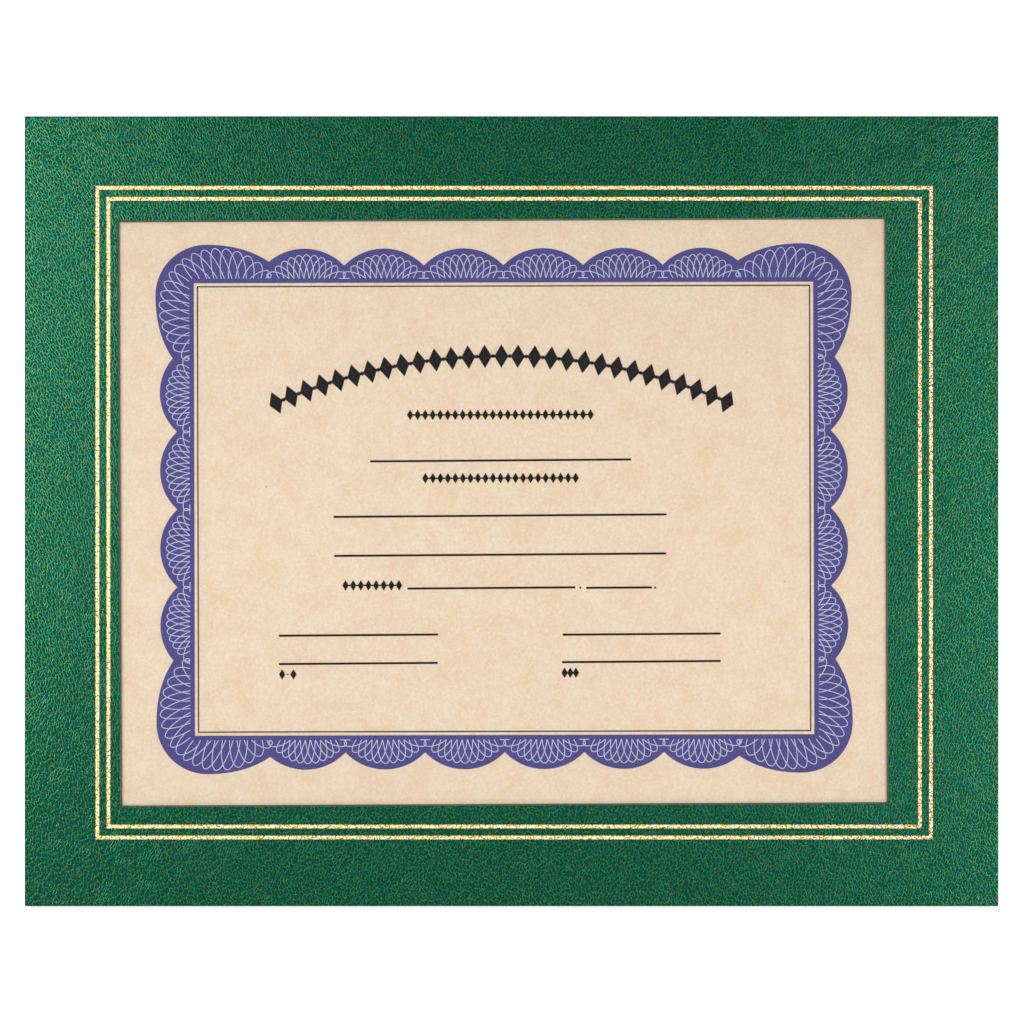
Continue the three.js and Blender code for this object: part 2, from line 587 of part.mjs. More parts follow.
function legOutline(inset) {
  const length = LEG_LENGTH - LEG_START;
  const slant = Math.atan((LEG_FOOT_WIDTH - LEG_TOP_WIDTH) / 2 / length);
  const halfWidth = (y) =>
    LEG_TOP_WIDTH / 2 + (-LEG_START - y) * Math.tan(slant) - inset / Math.cos(slant);
  const top = -LEG_START - inset;
  const foot = -LEG_LENGTH + inset;
  const archRadius = (LEG_ARCH_WIDTH ** 2 / 4 + LEG_ARCH_RISE ** 2) / (2 * LEG_ARCH_RISE);
  const archMiddle = -LEG_LENGTH + LEG_ARCH_RISE - archRadius;
  const archAngle = Math.asin((foot - archMiddle) / (archRadius + inset));
  const archHalf = (archRadius + inset) * Math.cos(archAngle);
  const corners = [
    new THREE.Vector2(halfWidth(foot), foot),
    new THREE.Vector2(halfWidth(top), top),
    new THREE.Vector2(-halfWidth(top), top),
    new THREE.Vector2(-halfWidth(foot), foot),
  ];
  const arch = [new THREE.Vector2(-archHalf, foot), new THREE.Vector2(archHalf, foot)];
  const footCorner = Math.max(LEG_FOOT_CORNER - inset, LEG_FOOT_CORNER / 4);
  const topCorner = Math.max(LEG_TOP_CORNER - inset, LEG_TOP_CORNER / 4);
  const shape = new THREE.Shape();
  shape.moveTo(arch[0].x, foot);
  shape.absarc(0, archMiddle, archRadius + inset, Math.PI - archAngle, archAngle, true);
  roundedCorner(shape, arch[1], corners[0], corners[1], footCorner);
  roundedCorner(shape, corners[0], corners[1], corners[2], topCorner);
  roundedCorner(shape, corners[1], corners[2], corners[3], topCorner);
  roundedCorner(shape, corners[2], corners[3], arch[0], footCorner);
  return shape;
}

function easelLeg() {
  const legLayer = (inset, base, top) => solid(backLayer(legOutline(inset), base, top, 12));
  const places = [-1, 1].map((side) => [(side * RIVET_SPACING) / 2, -RIVET_FROM_AXIS]);
  const holes = places.map(([x, y]) => shankHole(x, y, LEG_BASE, LEG_TOP + CUT_MARGIN));
  const recesses = places.map(([x, y]) => tailRecess(x, y, LEG_BOARD_BASE));
  const board = cutAll(legLayer(LEG_BOARD_INSET, LEG_BOARD_BASE, LEG_BOARD_TOP), [...holes, ...recesses]);
  const cover = cutAll(legLayer(0, LEG_BASE, LEG_TOP), [
    legLayer(LEG_COVER_THICKNESS, LEG_BASE + LEG_COVER_THICKNESS, LEG_TOP - LEG_COVER_THICKNESS),
    legLayer(LEG_TURN_IN, LEG_BASE - CUT_MARGIN, LEG_BOARD_BASE),
    ...places.map(([x, y]) => shankHole(x, y, LEG_BOARD_TOP, LEG_TOP + CUT_MARGIN)),
  ]);
  const liner = legLayer(LEG_LINER_INSET, LEG_LINER_BASE, LEG_LINER_BASE + LEG_LINER_THICKNESS);
  const leaf = geometryOf(hingeLeaf(knuckles(0)))
    .translate(0, 0, FRAME_DEPTH + AXIS_HEIGHT)
    .rotateX(Math.PI)
    .translate(0, 0, -FRAME_DEPTH - AXIS_HEIGHT);
  const seat = LEG_LEAF_BASE + LEAF_THICKNESS;
  const [left, right] = places;
  const leg = new THREE.Group();
  leg.add(
    piece('leg_board', board, GREYBOARD),
    piece('leg_cover', cover, BACK_PAPER),
    piece('leg_liner', liner, LINING),
    piece('hinge_leg_leaf', leaf, STEEL),
    piece('leg_leaf_rivet_left', rivet(...left, seat, LEG_BOARD_BASE), BRASS),
    piece('leg_leaf_rivet_right', rivet(...right, seat, LEG_BOARD_BASE), BRASS),
  );
  return hinged(leg, HINGE_Y, AXIS_HEIGHT, LEG_OPENING);
}

// Turns pieces that were drawn folded on the back face about an axis along x at a height above it
function hinged(pieces, y, height, angle) {
  const axis = -FRAME_DEPTH - height;
  pieces.position.set(0, 0, -axis);
  const turned = new THREE.Group();
  turned.add(pieces);
  turned.rotation.x = angle;
  turned.position.set(0, y, axis);
  return turned;
}

// A thin band that follows a bent line, with mitred corners
function bandOutline(line, thickness) {
  const directions = line.slice(1).map((point, index) => point.clone().sub(line[index]).normalize());
  const offsetAt = (index) => {
    const before = directions[Math.max(index - 1, 0)];
    const after = directions[Math.min(index, directions.length - 1)];
    const middle = before.clone().add(after).normalize();
    const reach = thickness / 2 / middle.dot(before);
    return new THREE.Vector2(-middle.y, middle.x).multiplyScalar(reach);
  };
  const upper = line.map((point, index) => point.clone().add(offsetAt(index)));
  const lower = line.map((point, index) => point.clone().sub(offsetAt(index)));
  return new THREE.Shape([...upper, ...lower.reverse()]);
}

// The stay is glued to the back face and to the leg's lining, and is taut when the leg is open
function ribbonStay() {
  const seat = RIBBON_SEAT_GAP + RIBBON_THICKNESS / 2;
  const axis = new THREE.Vector2(HINGE_Y, AXIS_HEIGHT);
  const onLeg = (fromAxis) =>
    new THREE.Vector2(HINGE_Y - fromAxis, LEG_LINER_BASE - seat).rotateAround(axis, -LEG_OPENING);
  const line = [
    new THREE.Vector2(HINGE_Y - RIBBON_FROM_AXIS + RIBBON_TAB, seat),
    new THREE.Vector2(HINGE_Y - RIBBON_FROM_AXIS, seat),
    onLeg(RIBBON_FROM_AXIS),
    onLeg(RIBBON_FROM_AXIS - RIBBON_TAB),
  ];
  return piece('ribbon_stay', backSection(bandOutline(line, RIBBON_THICKNESS), RIBBON_WIDTH), RIBBON);
}

// Wall hanger

function hangerOnFrame() {
  const rolled = solid(backSection(
    rolledSection(LOOP_RADIUS, HANGER_STRAP_THICKNESS, HANGER_STRAP_LENGTH), HANGER_STRAP_WIDTH)
    .rotateZ(Math.PI)
    .translate(0, 0, -HANGER_AXIS_HEIGHT));
  const outlineLength = HANGER_STRAP_LENGTH + LOOP_RADIUS + HANGER_STRAP_CORNER;
  const outline = solid(backLayer(
    roundedRectangle(HANGER_STRAP_WIDTH, outlineLength, HANGER_STRAP_CORNER, 0,
      outlineLength / 2 - HANGER_STRAP_LENGTH),
    -CUT_MARGIN, HANGER_AXIS_HEIGHT + LOOP_RADIUS + CUT_MARGIN));
  const hole = shankHole(0, -HANGER_RIVET_FROM_AXIS, -CUT_MARGIN, HANGER_AXIS_HEIGHT);
  const strap = rolled.intersect(outline).subtract(hole).translate([0, HANGER_Y, 0]);
  const seat = LEAF_SEAT_GAP + HANGER_STRAP_THICKNESS;
  const place = backRivetPlaces()[2];
  return [
    piece('hanger_strap', strap, STEEL),
    piece('hanger_rivet', rivet(...place, seat, BACK_BOARD_FRONT - FRAME_DEPTH), BRASS),
  ];
}

// Round wire along a closed flat path drawn counter-clockwise
function closedWire(path, radius) {
  const points = path.getSpacedPoints(WIRE_STEPS).slice(0, WIRE_STEPS);
  const positions = points.flatMap((point, step) => {
    const ahead = points[(step + 1) % WIRE_STEPS];
    const behind = points[(step + WIRE_STEPS - 1) % WIRE_STEPS];
    const along = ahead.clone().sub(behind).normalize();
    return Array.from({ length: WIRE_SIDES }, (_, side) => {
      const angle = (side / WIRE_SIDES) * 2 * Math.PI;
      const out = radius * Math.cos(angle);
      return [point.x + out * along.y, point.y - out * along.x, radius * Math.sin(angle)];
    }).flat();
  });
  const index = points.flatMap((_, step) => Array.from({ length: WIRE_SIDES }, (__, side) => {
    const next = (step + 1) % WIRE_STEPS;
    const turn = (side + 1) % WIRE_SIDES;
    const [a, b] = [step * WIRE_SIDES + side, next * WIRE_SIDES + side];
    const [c, d] = [next * WIRE_SIDES + turn, step * WIRE_SIDES + turn];
    return [a, b, c, a, c, d];
  }).flat());
  const geometry = new THREE.BufferGeometry();
  geometry.setAttribute('position', new THREE.Float32BufferAttribute(positions, 3));
  geometry.setIndex(index);
  geometry.computeVertexNormals();
  return geometry;
}

// A three-cornered wire ring whose straight side runs through the strap's loop; it hangs plumb
function hangerRing() {
  const left = new THREE.Vector2(-RING_HALF_WIDTH, 0);
  const right = new THREE.Vector2(RING_HALF_WIDTH, 0);
  const tip = new THREE.Vector2(0, -RING_LENGTH);
  const path = new THREE.Path();
  path.moveTo(0, 0);
  roundedCorner(path, right, left, tip, RING_CORNER);
  roundedCorner(path, left, tip, right, RING_TIP_CORNER);
  roundedCorner(path, tip, right, left, RING_CORNER);
  path.lineTo(0, 0);
  const ring = new THREE.Group();
  ring.add(piece('hanger_ring',
    closedWire(path, RING_WIRE_RADIUS).translate(0, 0, -FRAME_DEPTH - HANGER_AXIS_HEIGHT), STEEL));
  return hinged(ring, HANGER_Y, HANGER_AXIS_HEIGHT, FRAME_LEAN);
}

// The whole holder, leaning back and standing on the ground plane with its middle over the origin
function certificateHolder() {
  const holder = new THREE.Group();
  holder.add(
    ...frontPanel(),
    ...windowPieces(),
    certificate(),
    ...spacers(),
    ...backPanel(),
    ...hingeOnFrame(),
    easelLeg(),
    ribbonStay(),
    ...hangerOnFrame(),
    hangerRing(),
  );
  holder.rotation.x = Math.PI / 2 - FRAME_LEAN;
  const box = new THREE.Box3().setFromObject(holder, true);
  const middle = box.getCenter(new THREE.Vector3());
  holder.position.set(-middle.x, -middle.y, -box.min.z);
  return holder;
}

export default certificateHolder();
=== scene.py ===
"""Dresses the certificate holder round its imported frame.

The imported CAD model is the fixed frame, in metres. The holder leans back, so most pieces are drawn flat, with
x across the front, y up the frame and z out of the front face, and are then laid into the leaning frame.
Lengths are in metres and angles in radians. Only the patterns of the finishes are drawn in millimetres, while
the depth of their relief is in metres too.
"""

from __future__ import annotations

import json
import logging
import math
from collections.abc import Iterable, Sequence
from dataclasses import dataclass, field
from enum import Enum

import bmesh
import bpy
from mathutils import Matrix, Vector
from mathutils.geometry import tessellate_polygon


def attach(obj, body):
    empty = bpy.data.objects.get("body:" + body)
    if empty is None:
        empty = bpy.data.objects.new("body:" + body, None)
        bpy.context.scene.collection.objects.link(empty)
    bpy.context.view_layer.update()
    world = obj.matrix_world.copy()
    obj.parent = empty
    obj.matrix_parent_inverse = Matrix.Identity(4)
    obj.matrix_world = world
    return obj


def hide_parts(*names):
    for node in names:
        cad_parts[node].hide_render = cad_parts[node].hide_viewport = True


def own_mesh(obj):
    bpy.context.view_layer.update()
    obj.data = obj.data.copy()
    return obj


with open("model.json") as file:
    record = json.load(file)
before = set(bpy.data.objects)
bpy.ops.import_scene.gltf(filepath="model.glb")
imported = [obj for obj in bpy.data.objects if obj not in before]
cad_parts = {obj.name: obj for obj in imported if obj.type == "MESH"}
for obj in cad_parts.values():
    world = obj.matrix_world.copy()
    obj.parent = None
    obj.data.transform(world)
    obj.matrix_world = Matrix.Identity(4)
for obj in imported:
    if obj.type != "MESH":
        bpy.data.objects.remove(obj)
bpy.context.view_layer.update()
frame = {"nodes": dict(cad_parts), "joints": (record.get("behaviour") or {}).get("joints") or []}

LOG = logging.getLogger("certificate_holder")
MM = 0.001
SHARP = math.radians(35)

Form = bmesh.types.BMesh
Material = bpy.types.Material
Mesh = bpy.types.Mesh
Piece = bpy.types.Object
Socket = bpy.types.NodeSocket
Value = float | Sequence[float] | Socket
Inputs = dict[str | int, Value]
Colour = tuple[float, float, float, float]
Triple = tuple[float, float, float]

WHITE: Colour = (1.0, 1.0, 1.0, 1.0)


class Body(Enum):
    """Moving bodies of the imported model."""

    FRAME = "frame"
    SHEET = "sheet"
    LEG = "easel_leg"
    RING = "ring"


class Slot(Enum):
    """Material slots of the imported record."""

    LEATHERETTE = "leatherette"
    BACK_PAPER = "back_paper"
    STEEL = "steel"
    BRASS = "brass"
    RIBBON = "ribbon"


def srgb(red: float, green: float, blue: float) -> Colour:
    """Turns a colour written as it looks on a screen into the linear colour that shaders take.

    Args:
        red: Red, from 0 to 255.
        green: Green, from 0 to 255.
        blue: Blue, from 0 to 255.

    Returns:
        The linear colour with an alpha of 1.
    """
    shares = (channel / 255 for channel in (red, green, blue))
    linear = (s / 12.92 if s <= 0.04045 else ((s + 0.055) / 1.055) ** 2.4 for s in shares)
    return (*linear, 1.0)


def joint(name: str) -> dict:
    """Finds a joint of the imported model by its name."""
    return next(found for found in frame["joints"] if found["name"] == name)


@dataclass(frozen=True)
class Plane:
    """The flat drawing plane of the leaning frame, laid on its front face.

    Attributes:
        lean: How far the frame leans back from upright, in radians.
        matrix: Takes flat coordinates to the row frame.
    """

    lean: float
    matrix: Matrix

    @classmethod
    def of_front(cls, board: str, slide: str) -> Plane:
        """Finds the plane from a covered board and from the joint that slides up it.

        Args:
            board: A node that is a plate over the whole frame, whose front is the front face.
            slide: A joint whose axis runs straight up the frame.

        Returns:
            The plane, with its origin at the middle of the front face.
        """
        axis = Vector(joint(slide)["axis"])
        lean = math.atan2(axis.y, axis.z)
        turn = Matrix.Rotation(math.pi / 2 - lean, 4, "X")
        low, high = box_in(turn, board)
        middle = (low + high) / 2
        middle.z = high.z
        return cls(lean, turn @ Matrix.Translation(middle))

    def box(self, node: str) -> tuple[Vector, Vector]:
        """Lowest and highest corner of a CAD node, in flat coordinates."""
        return box_in(self.matrix, node)

    def flat(self, point: Sequence[float]) -> Vector:
        """Turns a point of the row frame into flat coordinates."""
        return self.matrix.inverted() @ Vector(point)


def box_in(matrix: Matrix, node: str) -> tuple[Vector, Vector]:
    """Measures a CAD node in turned coordinates.

    Args:
        matrix: Takes the turned coordinates to the row frame.
        node: The CAD node's name.

    Returns:
        Its lowest and highest corner in the turned coordinates.
    """
    inverse = matrix.inverted()
    points = [inverse @ vertex.co for vertex in frame["nodes"][node].data.vertices]
    low = Vector(min(point[axis] for point in points) for axis in range(3))
    high = Vector(max(point[axis] for point in points) for axis in range(3))
    return low, high


PLANE = Plane.of_front("front_cover", "sheet_slide")


def leg_plane() -> Plane:
    """The drawing plane of the easel leg, which is the frame's plane before the leg swings out.

    Returns:
        The leg's plane, with the leg at rest.
    """
    fold = joint("easel_fold")
    opening = -math.radians(min(fold["range_deg"]))
    pin = Matrix.Translation(fold["pos_m"])
    swing = pin @ Matrix.Rotation(opening, 4, "X") @ pin.inverted()
    return Plane(PLANE.lean - opening, swing @ PLANE.matrix)


LEG_PLANE = leg_plane()


class Graph:
    """Short ways to add and join the nodes of one shader or geometry tree."""

    def __init__(self, tree: bpy.types.NodeTree) -> None:
        """Starts on a tree, whose own nodes are cleared."""
        self.tree = tree
        self.tree.nodes.clear()

    def node(self, kind: str, inputs: Inputs | None = None, **settings: object) -> bpy.types.Node:
        """Adds a node.

        Args:
            kind: The node's type name.
            inputs: A value or a socket for each named or numbered input.
            **settings: The node's own properties.

        Returns:
            The new node.
        """
        node = self.tree.nodes.new(kind)
        for name, value in settings.items():
            setattr(node, name, value)
        for key, value in (inputs or {}).items():
            if isinstance(value, Socket):
                self.tree.links.new(value, node.inputs[key])
            else:
                node.inputs[key].default_value = value
        return node

    def out(self, kind: str, inputs: Inputs | None = None, output: str | int = 0,
            **settings: object) -> Socket:
        """Adds a node and returns one of its outputs."""
        return self.node(kind, inputs, **settings).outputs[output]

    def math(self, operation: str, first: Value, second: Value = 0.0) -> Socket:
        """Adds a Math node and returns its value."""
        return self.out("ShaderNodeMath", {0: first, 1: second}, operation=operation)

    def plus(self, first: Value, second: Value) -> Socket:
        """Adds two values."""
        return self.math("ADD", first, second)

    def times(self, first: Value, second: Value) -> Socket:
        """Multiplies two values."""
        return self.math("MULTIPLY", first, second)

    def vector(self, operation: str, first: Value, second: Value) -> Socket:
        """Adds a Vector Math node and returns its vector."""
        return self.out("ShaderNodeVectorMath", {0: first, 1: second}, operation=operation)

    def remap(self, value: Value, start: float, end: float, low: float = 0.0, high: float = 1.0) -> Socket:
        """Eases a value from one range into another, and holds it at the ends.

        Args:
            value: What is read.
            start: The reading that gives low.
            end: The reading that gives high.
            low: The result at start.
            high: The result at end.

        Returns:
            The eased value.
        """
        inputs = {0: value, 1: start, 2: end, 3: low, 4: high}
        return self.out("ShaderNodeMapRange", inputs, interpolation_type="SMOOTHSTEP")

    def mix(self, share: Value, first: Value, second: Value) -> Socket:
        """Mixes two colours and returns the mixed colour."""
        return self.out("ShaderNodeMix", {0: share, 6: first, 7: second}, 2, data_type="RGBA")

    def noise(self, place: Socket, size: float, detail: float = 2.0, roughness: float = 0.5,
              distortion: float = 0.0) -> Socket:
        """Adds smooth noise.

        Args:
            place: The coordinates that it is drawn on.
            size: The width of its blotches, in units of place.
            detail: How many finer layers it has.
            roughness: How strong the finer layers are.
            distortion: How far it is stirred.

        Returns:
            The noise, from 0 to 1.
        """
        inputs = {"Vector": place, "Scale": 1 / size, "Detail": detail, "Roughness": roughness,
                  "Distortion": distortion}
        return self.out("ShaderNodeTexNoise", inputs)


class Shader(Graph):
    """The node tree of one material, with what surfaces here share."""

    def __init__(self, name: str) -> None:
        """Makes an empty material of that name."""
        self.material = bpy.data.materials.new(name)
        self.material.use_nodes = True
        super().__init__(self.material.node_tree)

    def place(self, lean: float | None = PLANE.lean) -> Socket:
        """Reads Object coordinates in millimetres.

        Args:
            lean: The lean of the plane that they are turned flat into, or None to leave them upright.

        Returns:
            The coordinates.
        """
        turn = 0.0 if lean is None else lean - math.pi / 2
        source = self.out("ShaderNodeTexCoord", output="Object")
        inputs = {"Vector": source, "Rotation": (turn, 0, 0), "Scale": (1 / MM,) * 3}
        return self.out("ShaderNodeMapping", inputs)

    def moved(self, place: Socket, shift: Triple) -> Socket:
        """Shifts coordinates, so that a second pattern doesn't repeat the first."""
        return self.vector("ADD", place, shift)

    def stretched(self, place: Socket, turn: float, size: Triple) -> Socket:
        """Turns coordinates about the face's normal, then makes a cell of that size one unit."""
        inputs = {"Vector": place, "Rotation": (0, 0, turn), "Scale": size}
        return self.out("ShaderNodeMapping", inputs, vector_type="TEXTURE")

    def edges(self, place: Socket) -> Socket:
        """Draws random cells one unit across, slanted through the depth.

        Args:
            place: The coordinates that they are drawn on.

        Returns:
            The distance to the nearest border between cells.
        """
        depth = self.node("ShaderNodeSeparateXYZ", {0: place}).outputs["Z"]
        slant = self.out("ShaderNodeCombineXYZ", {"X": depth, "Y": depth})
        inputs = {"Vector": self.vector("ADD", place, slant), "Scale": 1.0, "Randomness": 1.0}
        return self.out("ShaderNodeTexVoronoi", inputs, "Distance", feature="DISTANCE_TO_EDGE",
                        voronoi_dimensions="2D")

    def warped(self, place: Socket, size: float, reach: float) -> Socket:
        """Shifts coordinates by soft noise.

        Args:
            place: The coordinates.
            size: The width of a wave.
            reach: How far a point moves at most.

        Returns:
            The wavy coordinates.
        """
        inputs = {"Vector": place, "Scale": 1 / size, "Detail": 1.0}
        noise = self.out("ShaderNodeTexNoise", inputs, 1)
        centred = self.vector("SUBTRACT", noise, (0.5, 0.5, 0.5))
        return self.vector("ADD", place, self.vector("MULTIPLY", centred, (reach * 2,) * 3))

    def bump(self, height: Socket, depth: float, strength: float = 1.0) -> Socket:
        """A normal that shows height, from 0 to 1, as relief of that depth in metres."""
        return self.out("ShaderNodeBump", {"Height": height, "Distance": depth, "Strength": strength})

    def principled(self, inputs: Inputs) -> Socket:
        """Adds a Principled BSDF and returns its shader."""
        return self.out("ShaderNodeBsdfPrincipled", inputs)

    def finish(self, surface: Socket) -> Material:
        """Joins a shader to the output and returns the material."""
        self.node("ShaderNodeOutputMaterial", {"Surface": surface})
        return self.material


class Finish:
    """What each finish of the holder can do."""

    def material(self) -> Material:
        """Makes its material."""
        raise NotImplementedError


@dataclass(frozen=True)
class Leatherette(Finish):
    """Green coated paper with an embossed leather grain, creased along both diagonals.

    Attributes:
        ground: The colour between the creases.
        rim_shade: Painted shade, the darkest colour, beside them.
        crease: A painted highlight, the bright colour that shines out of the creases.
        sheen: The tint of its reflections between the creases.
        glint: The tint of most of its reflections in the creases.
        spark: The tint of the others, in small patches.
        spark_patch: The width of such a patch.
        spark_shift: How far its patches are drawn from the mottling.
        ground_roughness: How rough the coating is between the creases.
        roughness: How rough it is in the creases.
        specular: How strongly it reflects.
        ior: Its index of refraction.
        grain_depth: How deep the grain is pressed.
        cell: Length and width of the grain's cells.
        crease_width: The width of a crease, as a share of a cell.
        pores: How deep the fine pores are, as a share of the grain's depth.
        pore: The width of a fine pore.
        mottle: The width of the mottling in its tones.
        waver: The scale at which the creases waver and how far they do.
        lean: The angle of the creases against the frame.
        rising_shift: How far the rising creases are drawn from the falling ones.
        patch: The width of a patch of creases of one lean.
        swing: How fast falling creases give way to rising ones across the frame, per millimetre.
    """

    ground: Colour = srgb(0, 47, 35)
    rim_shade: Colour = srgb(0, 20, 18)
    crease: Colour = srgb(0, 92, 55)
    sheen: Colour = (0.025, 0.27, 0.15, 1.0)
    glint: Colour = (0.16, 1.0, 0.6, 1.0)
    spark: Colour = (0.56, 1.0, 0.34, 1.0)
    spark_patch: float = 1.2
    spark_shift: Triple = (17.0, 5.0, 0.0)
    ground_roughness: float = 0.32
    roughness: float = 0.16
    specular: float = 1.0
    ior: float = 1.64
    grain_depth: float = 0.043 * MM
    cell: Triple = (1.9, 0.88, 1.0)
    crease_width: float = 0.19
    pores: float = 0.3
    pore: float = 0.55
    mottle: float = 0.7
    waver: tuple[float, float] = (1.8, 0.22)
    lean: float = math.radians(62)
    rising_shift: Triple = (40.0, 9.0, 3.0)
    patch: float = 7.0
    swing: float = 0.0006

    def relief(self, shader: Shader) -> tuple[Socket, Socket, Socket]:
        """Draws the grain.

        Args:
            shader: The material that it is drawn in.

        Returns:
            A value that is 1 in a crease, one that is 1 beside it, and the grain's height.
        """
        place = shader.warped(shader.place(), *self.waver)
        falling = shader.edges(shader.stretched(place, -self.lean, self.cell))
        rising = shader.edges(shader.stretched(shader.moved(place, self.rising_shift), self.lean, self.cell))
        side = shader.times(shader.out("ShaderNodeSeparateXYZ", {0: place}), -self.swing)
        patch = shader.remap(shader.plus(shader.noise(place, self.patch, 2.0), side), 0.48, 0.52)
        nearest = shader.plus(shader.times(falling, patch),
                              shader.times(rising, shader.math("SUBTRACT", 1.0, patch)))
        creases = shader.remap(nearest, 0.0, self.crease_width, 1.0, 0.0)
        rims = shader.remap(nearest, self.crease_width, 2 * self.crease_width, 1.0, 0.0)
        pillows = shader.remap(nearest, 0.0, 1.8 * self.crease_width)
        fine = shader.noise(place, self.pore, 2.0, 0.6)
        return creases, rims, shader.plus(pillows, shader.times(fine, self.pores))

    def surface(self, shader: Shader, creases: Socket, rims: Socket, height: Socket) -> Socket:
        """Builds the coated surface from its grain.

        Args:
            shader: The material that it is drawn in.
            creases: Where the creases run.
            rims: Where their rims are.
            height: The grain's height.

        Returns:
            The surface's shader.
        """
        place = shader.place()
        fine = shader.noise(place, self.mottle, 2.0, 0.65)
        # Painted shade: the rims beside the creases are darkened.
        dark = shader.times(rims, shader.remap(fine, 0.65, 0.35, 0.4, 1.0))
        colour = shader.mix(dark, self.ground, self.rim_shade)
        # Painted highlight: the creases are brightened.
        lit = shader.times(creases, shader.remap(fine, 0.35, 0.6, 0.2, 1.0))
        colour = shader.mix(lit, colour, self.crease)
        base = shader.remap(lit, 0.0, 0.6, self.ground_roughness, self.roughness)
        rough = shader.plus(base, shader.remap(fine, 0.3, 0.7, -0.05, 0.1))
        patches = shader.noise(shader.moved(place, self.spark_shift), self.spark_patch, 1.0)
        gleam = shader.mix(shader.remap(patches, 0.45, 0.55), self.glint, self.spark)
        return shader.principled({
            "Base Color": colour, "Roughness": rough, "Specular IOR Level": self.specular, "IOR": self.ior,
            "Specular Tint": shader.mix(lit, self.sheen, gleam),
            "Normal": shader.bump(height, self.grain_depth),
        })

    def material(self) -> Material:
        """Makes the material of the plain cover."""
        shader = Shader("green_leatherette")
        return shader.finish(self.surface(shader, *self.relief(shader)))


@dataclass(frozen=True)
class BrokenFoil(Finish):
    """Hot stamped gold that misses some of the grain's hollows and frays along its edges.

    Attributes:
        leather: What it is stamped into.
        gold: The usual colour.
        pale: The colour where it is pressed flat.
        deep: Painted shade, the darker colour in the hollows.
        dark_fleck_tone: The colour of the dark flecks.
        fleck: The width of a pale fleck.
        dark_fleck: The width of a dark fleck.
        dark_shift: How far the dark flecks are drawn from the pale ones.
        roughness: How rough the foil is where it is brightest.
        dulling: How much rougher it is where it is dullest.
        grain: How much of the leather's grain shows in it.
        missing: How much of it failed to stick, from 0 to 1.
        tear: The width of a tear in it.
        wear: How much further the dark flecks spread on the right lines than in the middle.
        spread_from: Where that begins and where it is full, in millimetres from the middle.
    """

    leather: Leatherette = Leatherette()
    gold: Colour = srgb(234, 180, 74)
    pale: Colour = srgb(240, 220, 190)
    deep: Colour = srgb(140, 84, 56)
    dark_fleck_tone: Colour = srgb(112, 66, 72)
    fleck: float = 0.8
    dark_fleck: float = 0.6
    dark_shift: Triple = (0.0, 61.0, 0.0)
    roughness: float = 0.48
    dulling: float = 0.16
    grain: float = 0.4
    missing: float = 0.3
    tear: float = 0.5
    wear: float = 0.105
    spread_from: tuple[float, float] = (30.0, 145.0)

    def material(self) -> Material:
        """Draws the foil over the leather.

        Returns:
            The foil's material.
        """
        shader = Shader("broken_gold_foil")
        creases, rims, height = self.leather.relief(shader)
        place = shader.place()
        fleck = shader.noise(place, self.fleck, 3.0, 0.7)
        colour = shader.mix(shader.remap(fleck, 0.45, 0.53), self.gold, self.pale)
        # Painted shade: the foil is darkened in the creases.
        colour = shader.mix(shader.times(creases, shader.remap(fleck, 0.6, 0.4)), colour, self.deep)
        # Dark flecks, spreading further on the lines towards the right.
        side = shader.out("ShaderNodeSeparateXYZ", {0: place})
        worn = shader.plus(shader.noise(shader.moved(place, self.dark_shift), self.dark_fleck, 2.0, 0.6),
                           shader.remap(side, *self.spread_from, 0.0, self.wear))
        colour = shader.mix(shader.remap(worn, 0.64, 0.7), colour, self.dark_fleck_tone)
        gold = shader.principled({
            "Base Color": colour, "Metallic": 1.0,
            "Roughness": shader.remap(fleck, 0.3, 0.7, self.roughness, self.roughness + self.dulling),
            "Normal": shader.bump(height, self.leather.grain_depth, self.grain),
        })
        torn = shader.plus(shader.times(creases, 0.3), shader.noise(place, self.tear, 3.0, 0.75))
        lost = shader.remap(torn, 1.0 - self.missing, 1.06 - self.missing)
        surface = self.leather.surface(shader, creases, rims, height)
        return shader.finish(shader.out("ShaderNodeMixShader", {0: lost, 1: gold, 2: surface}))


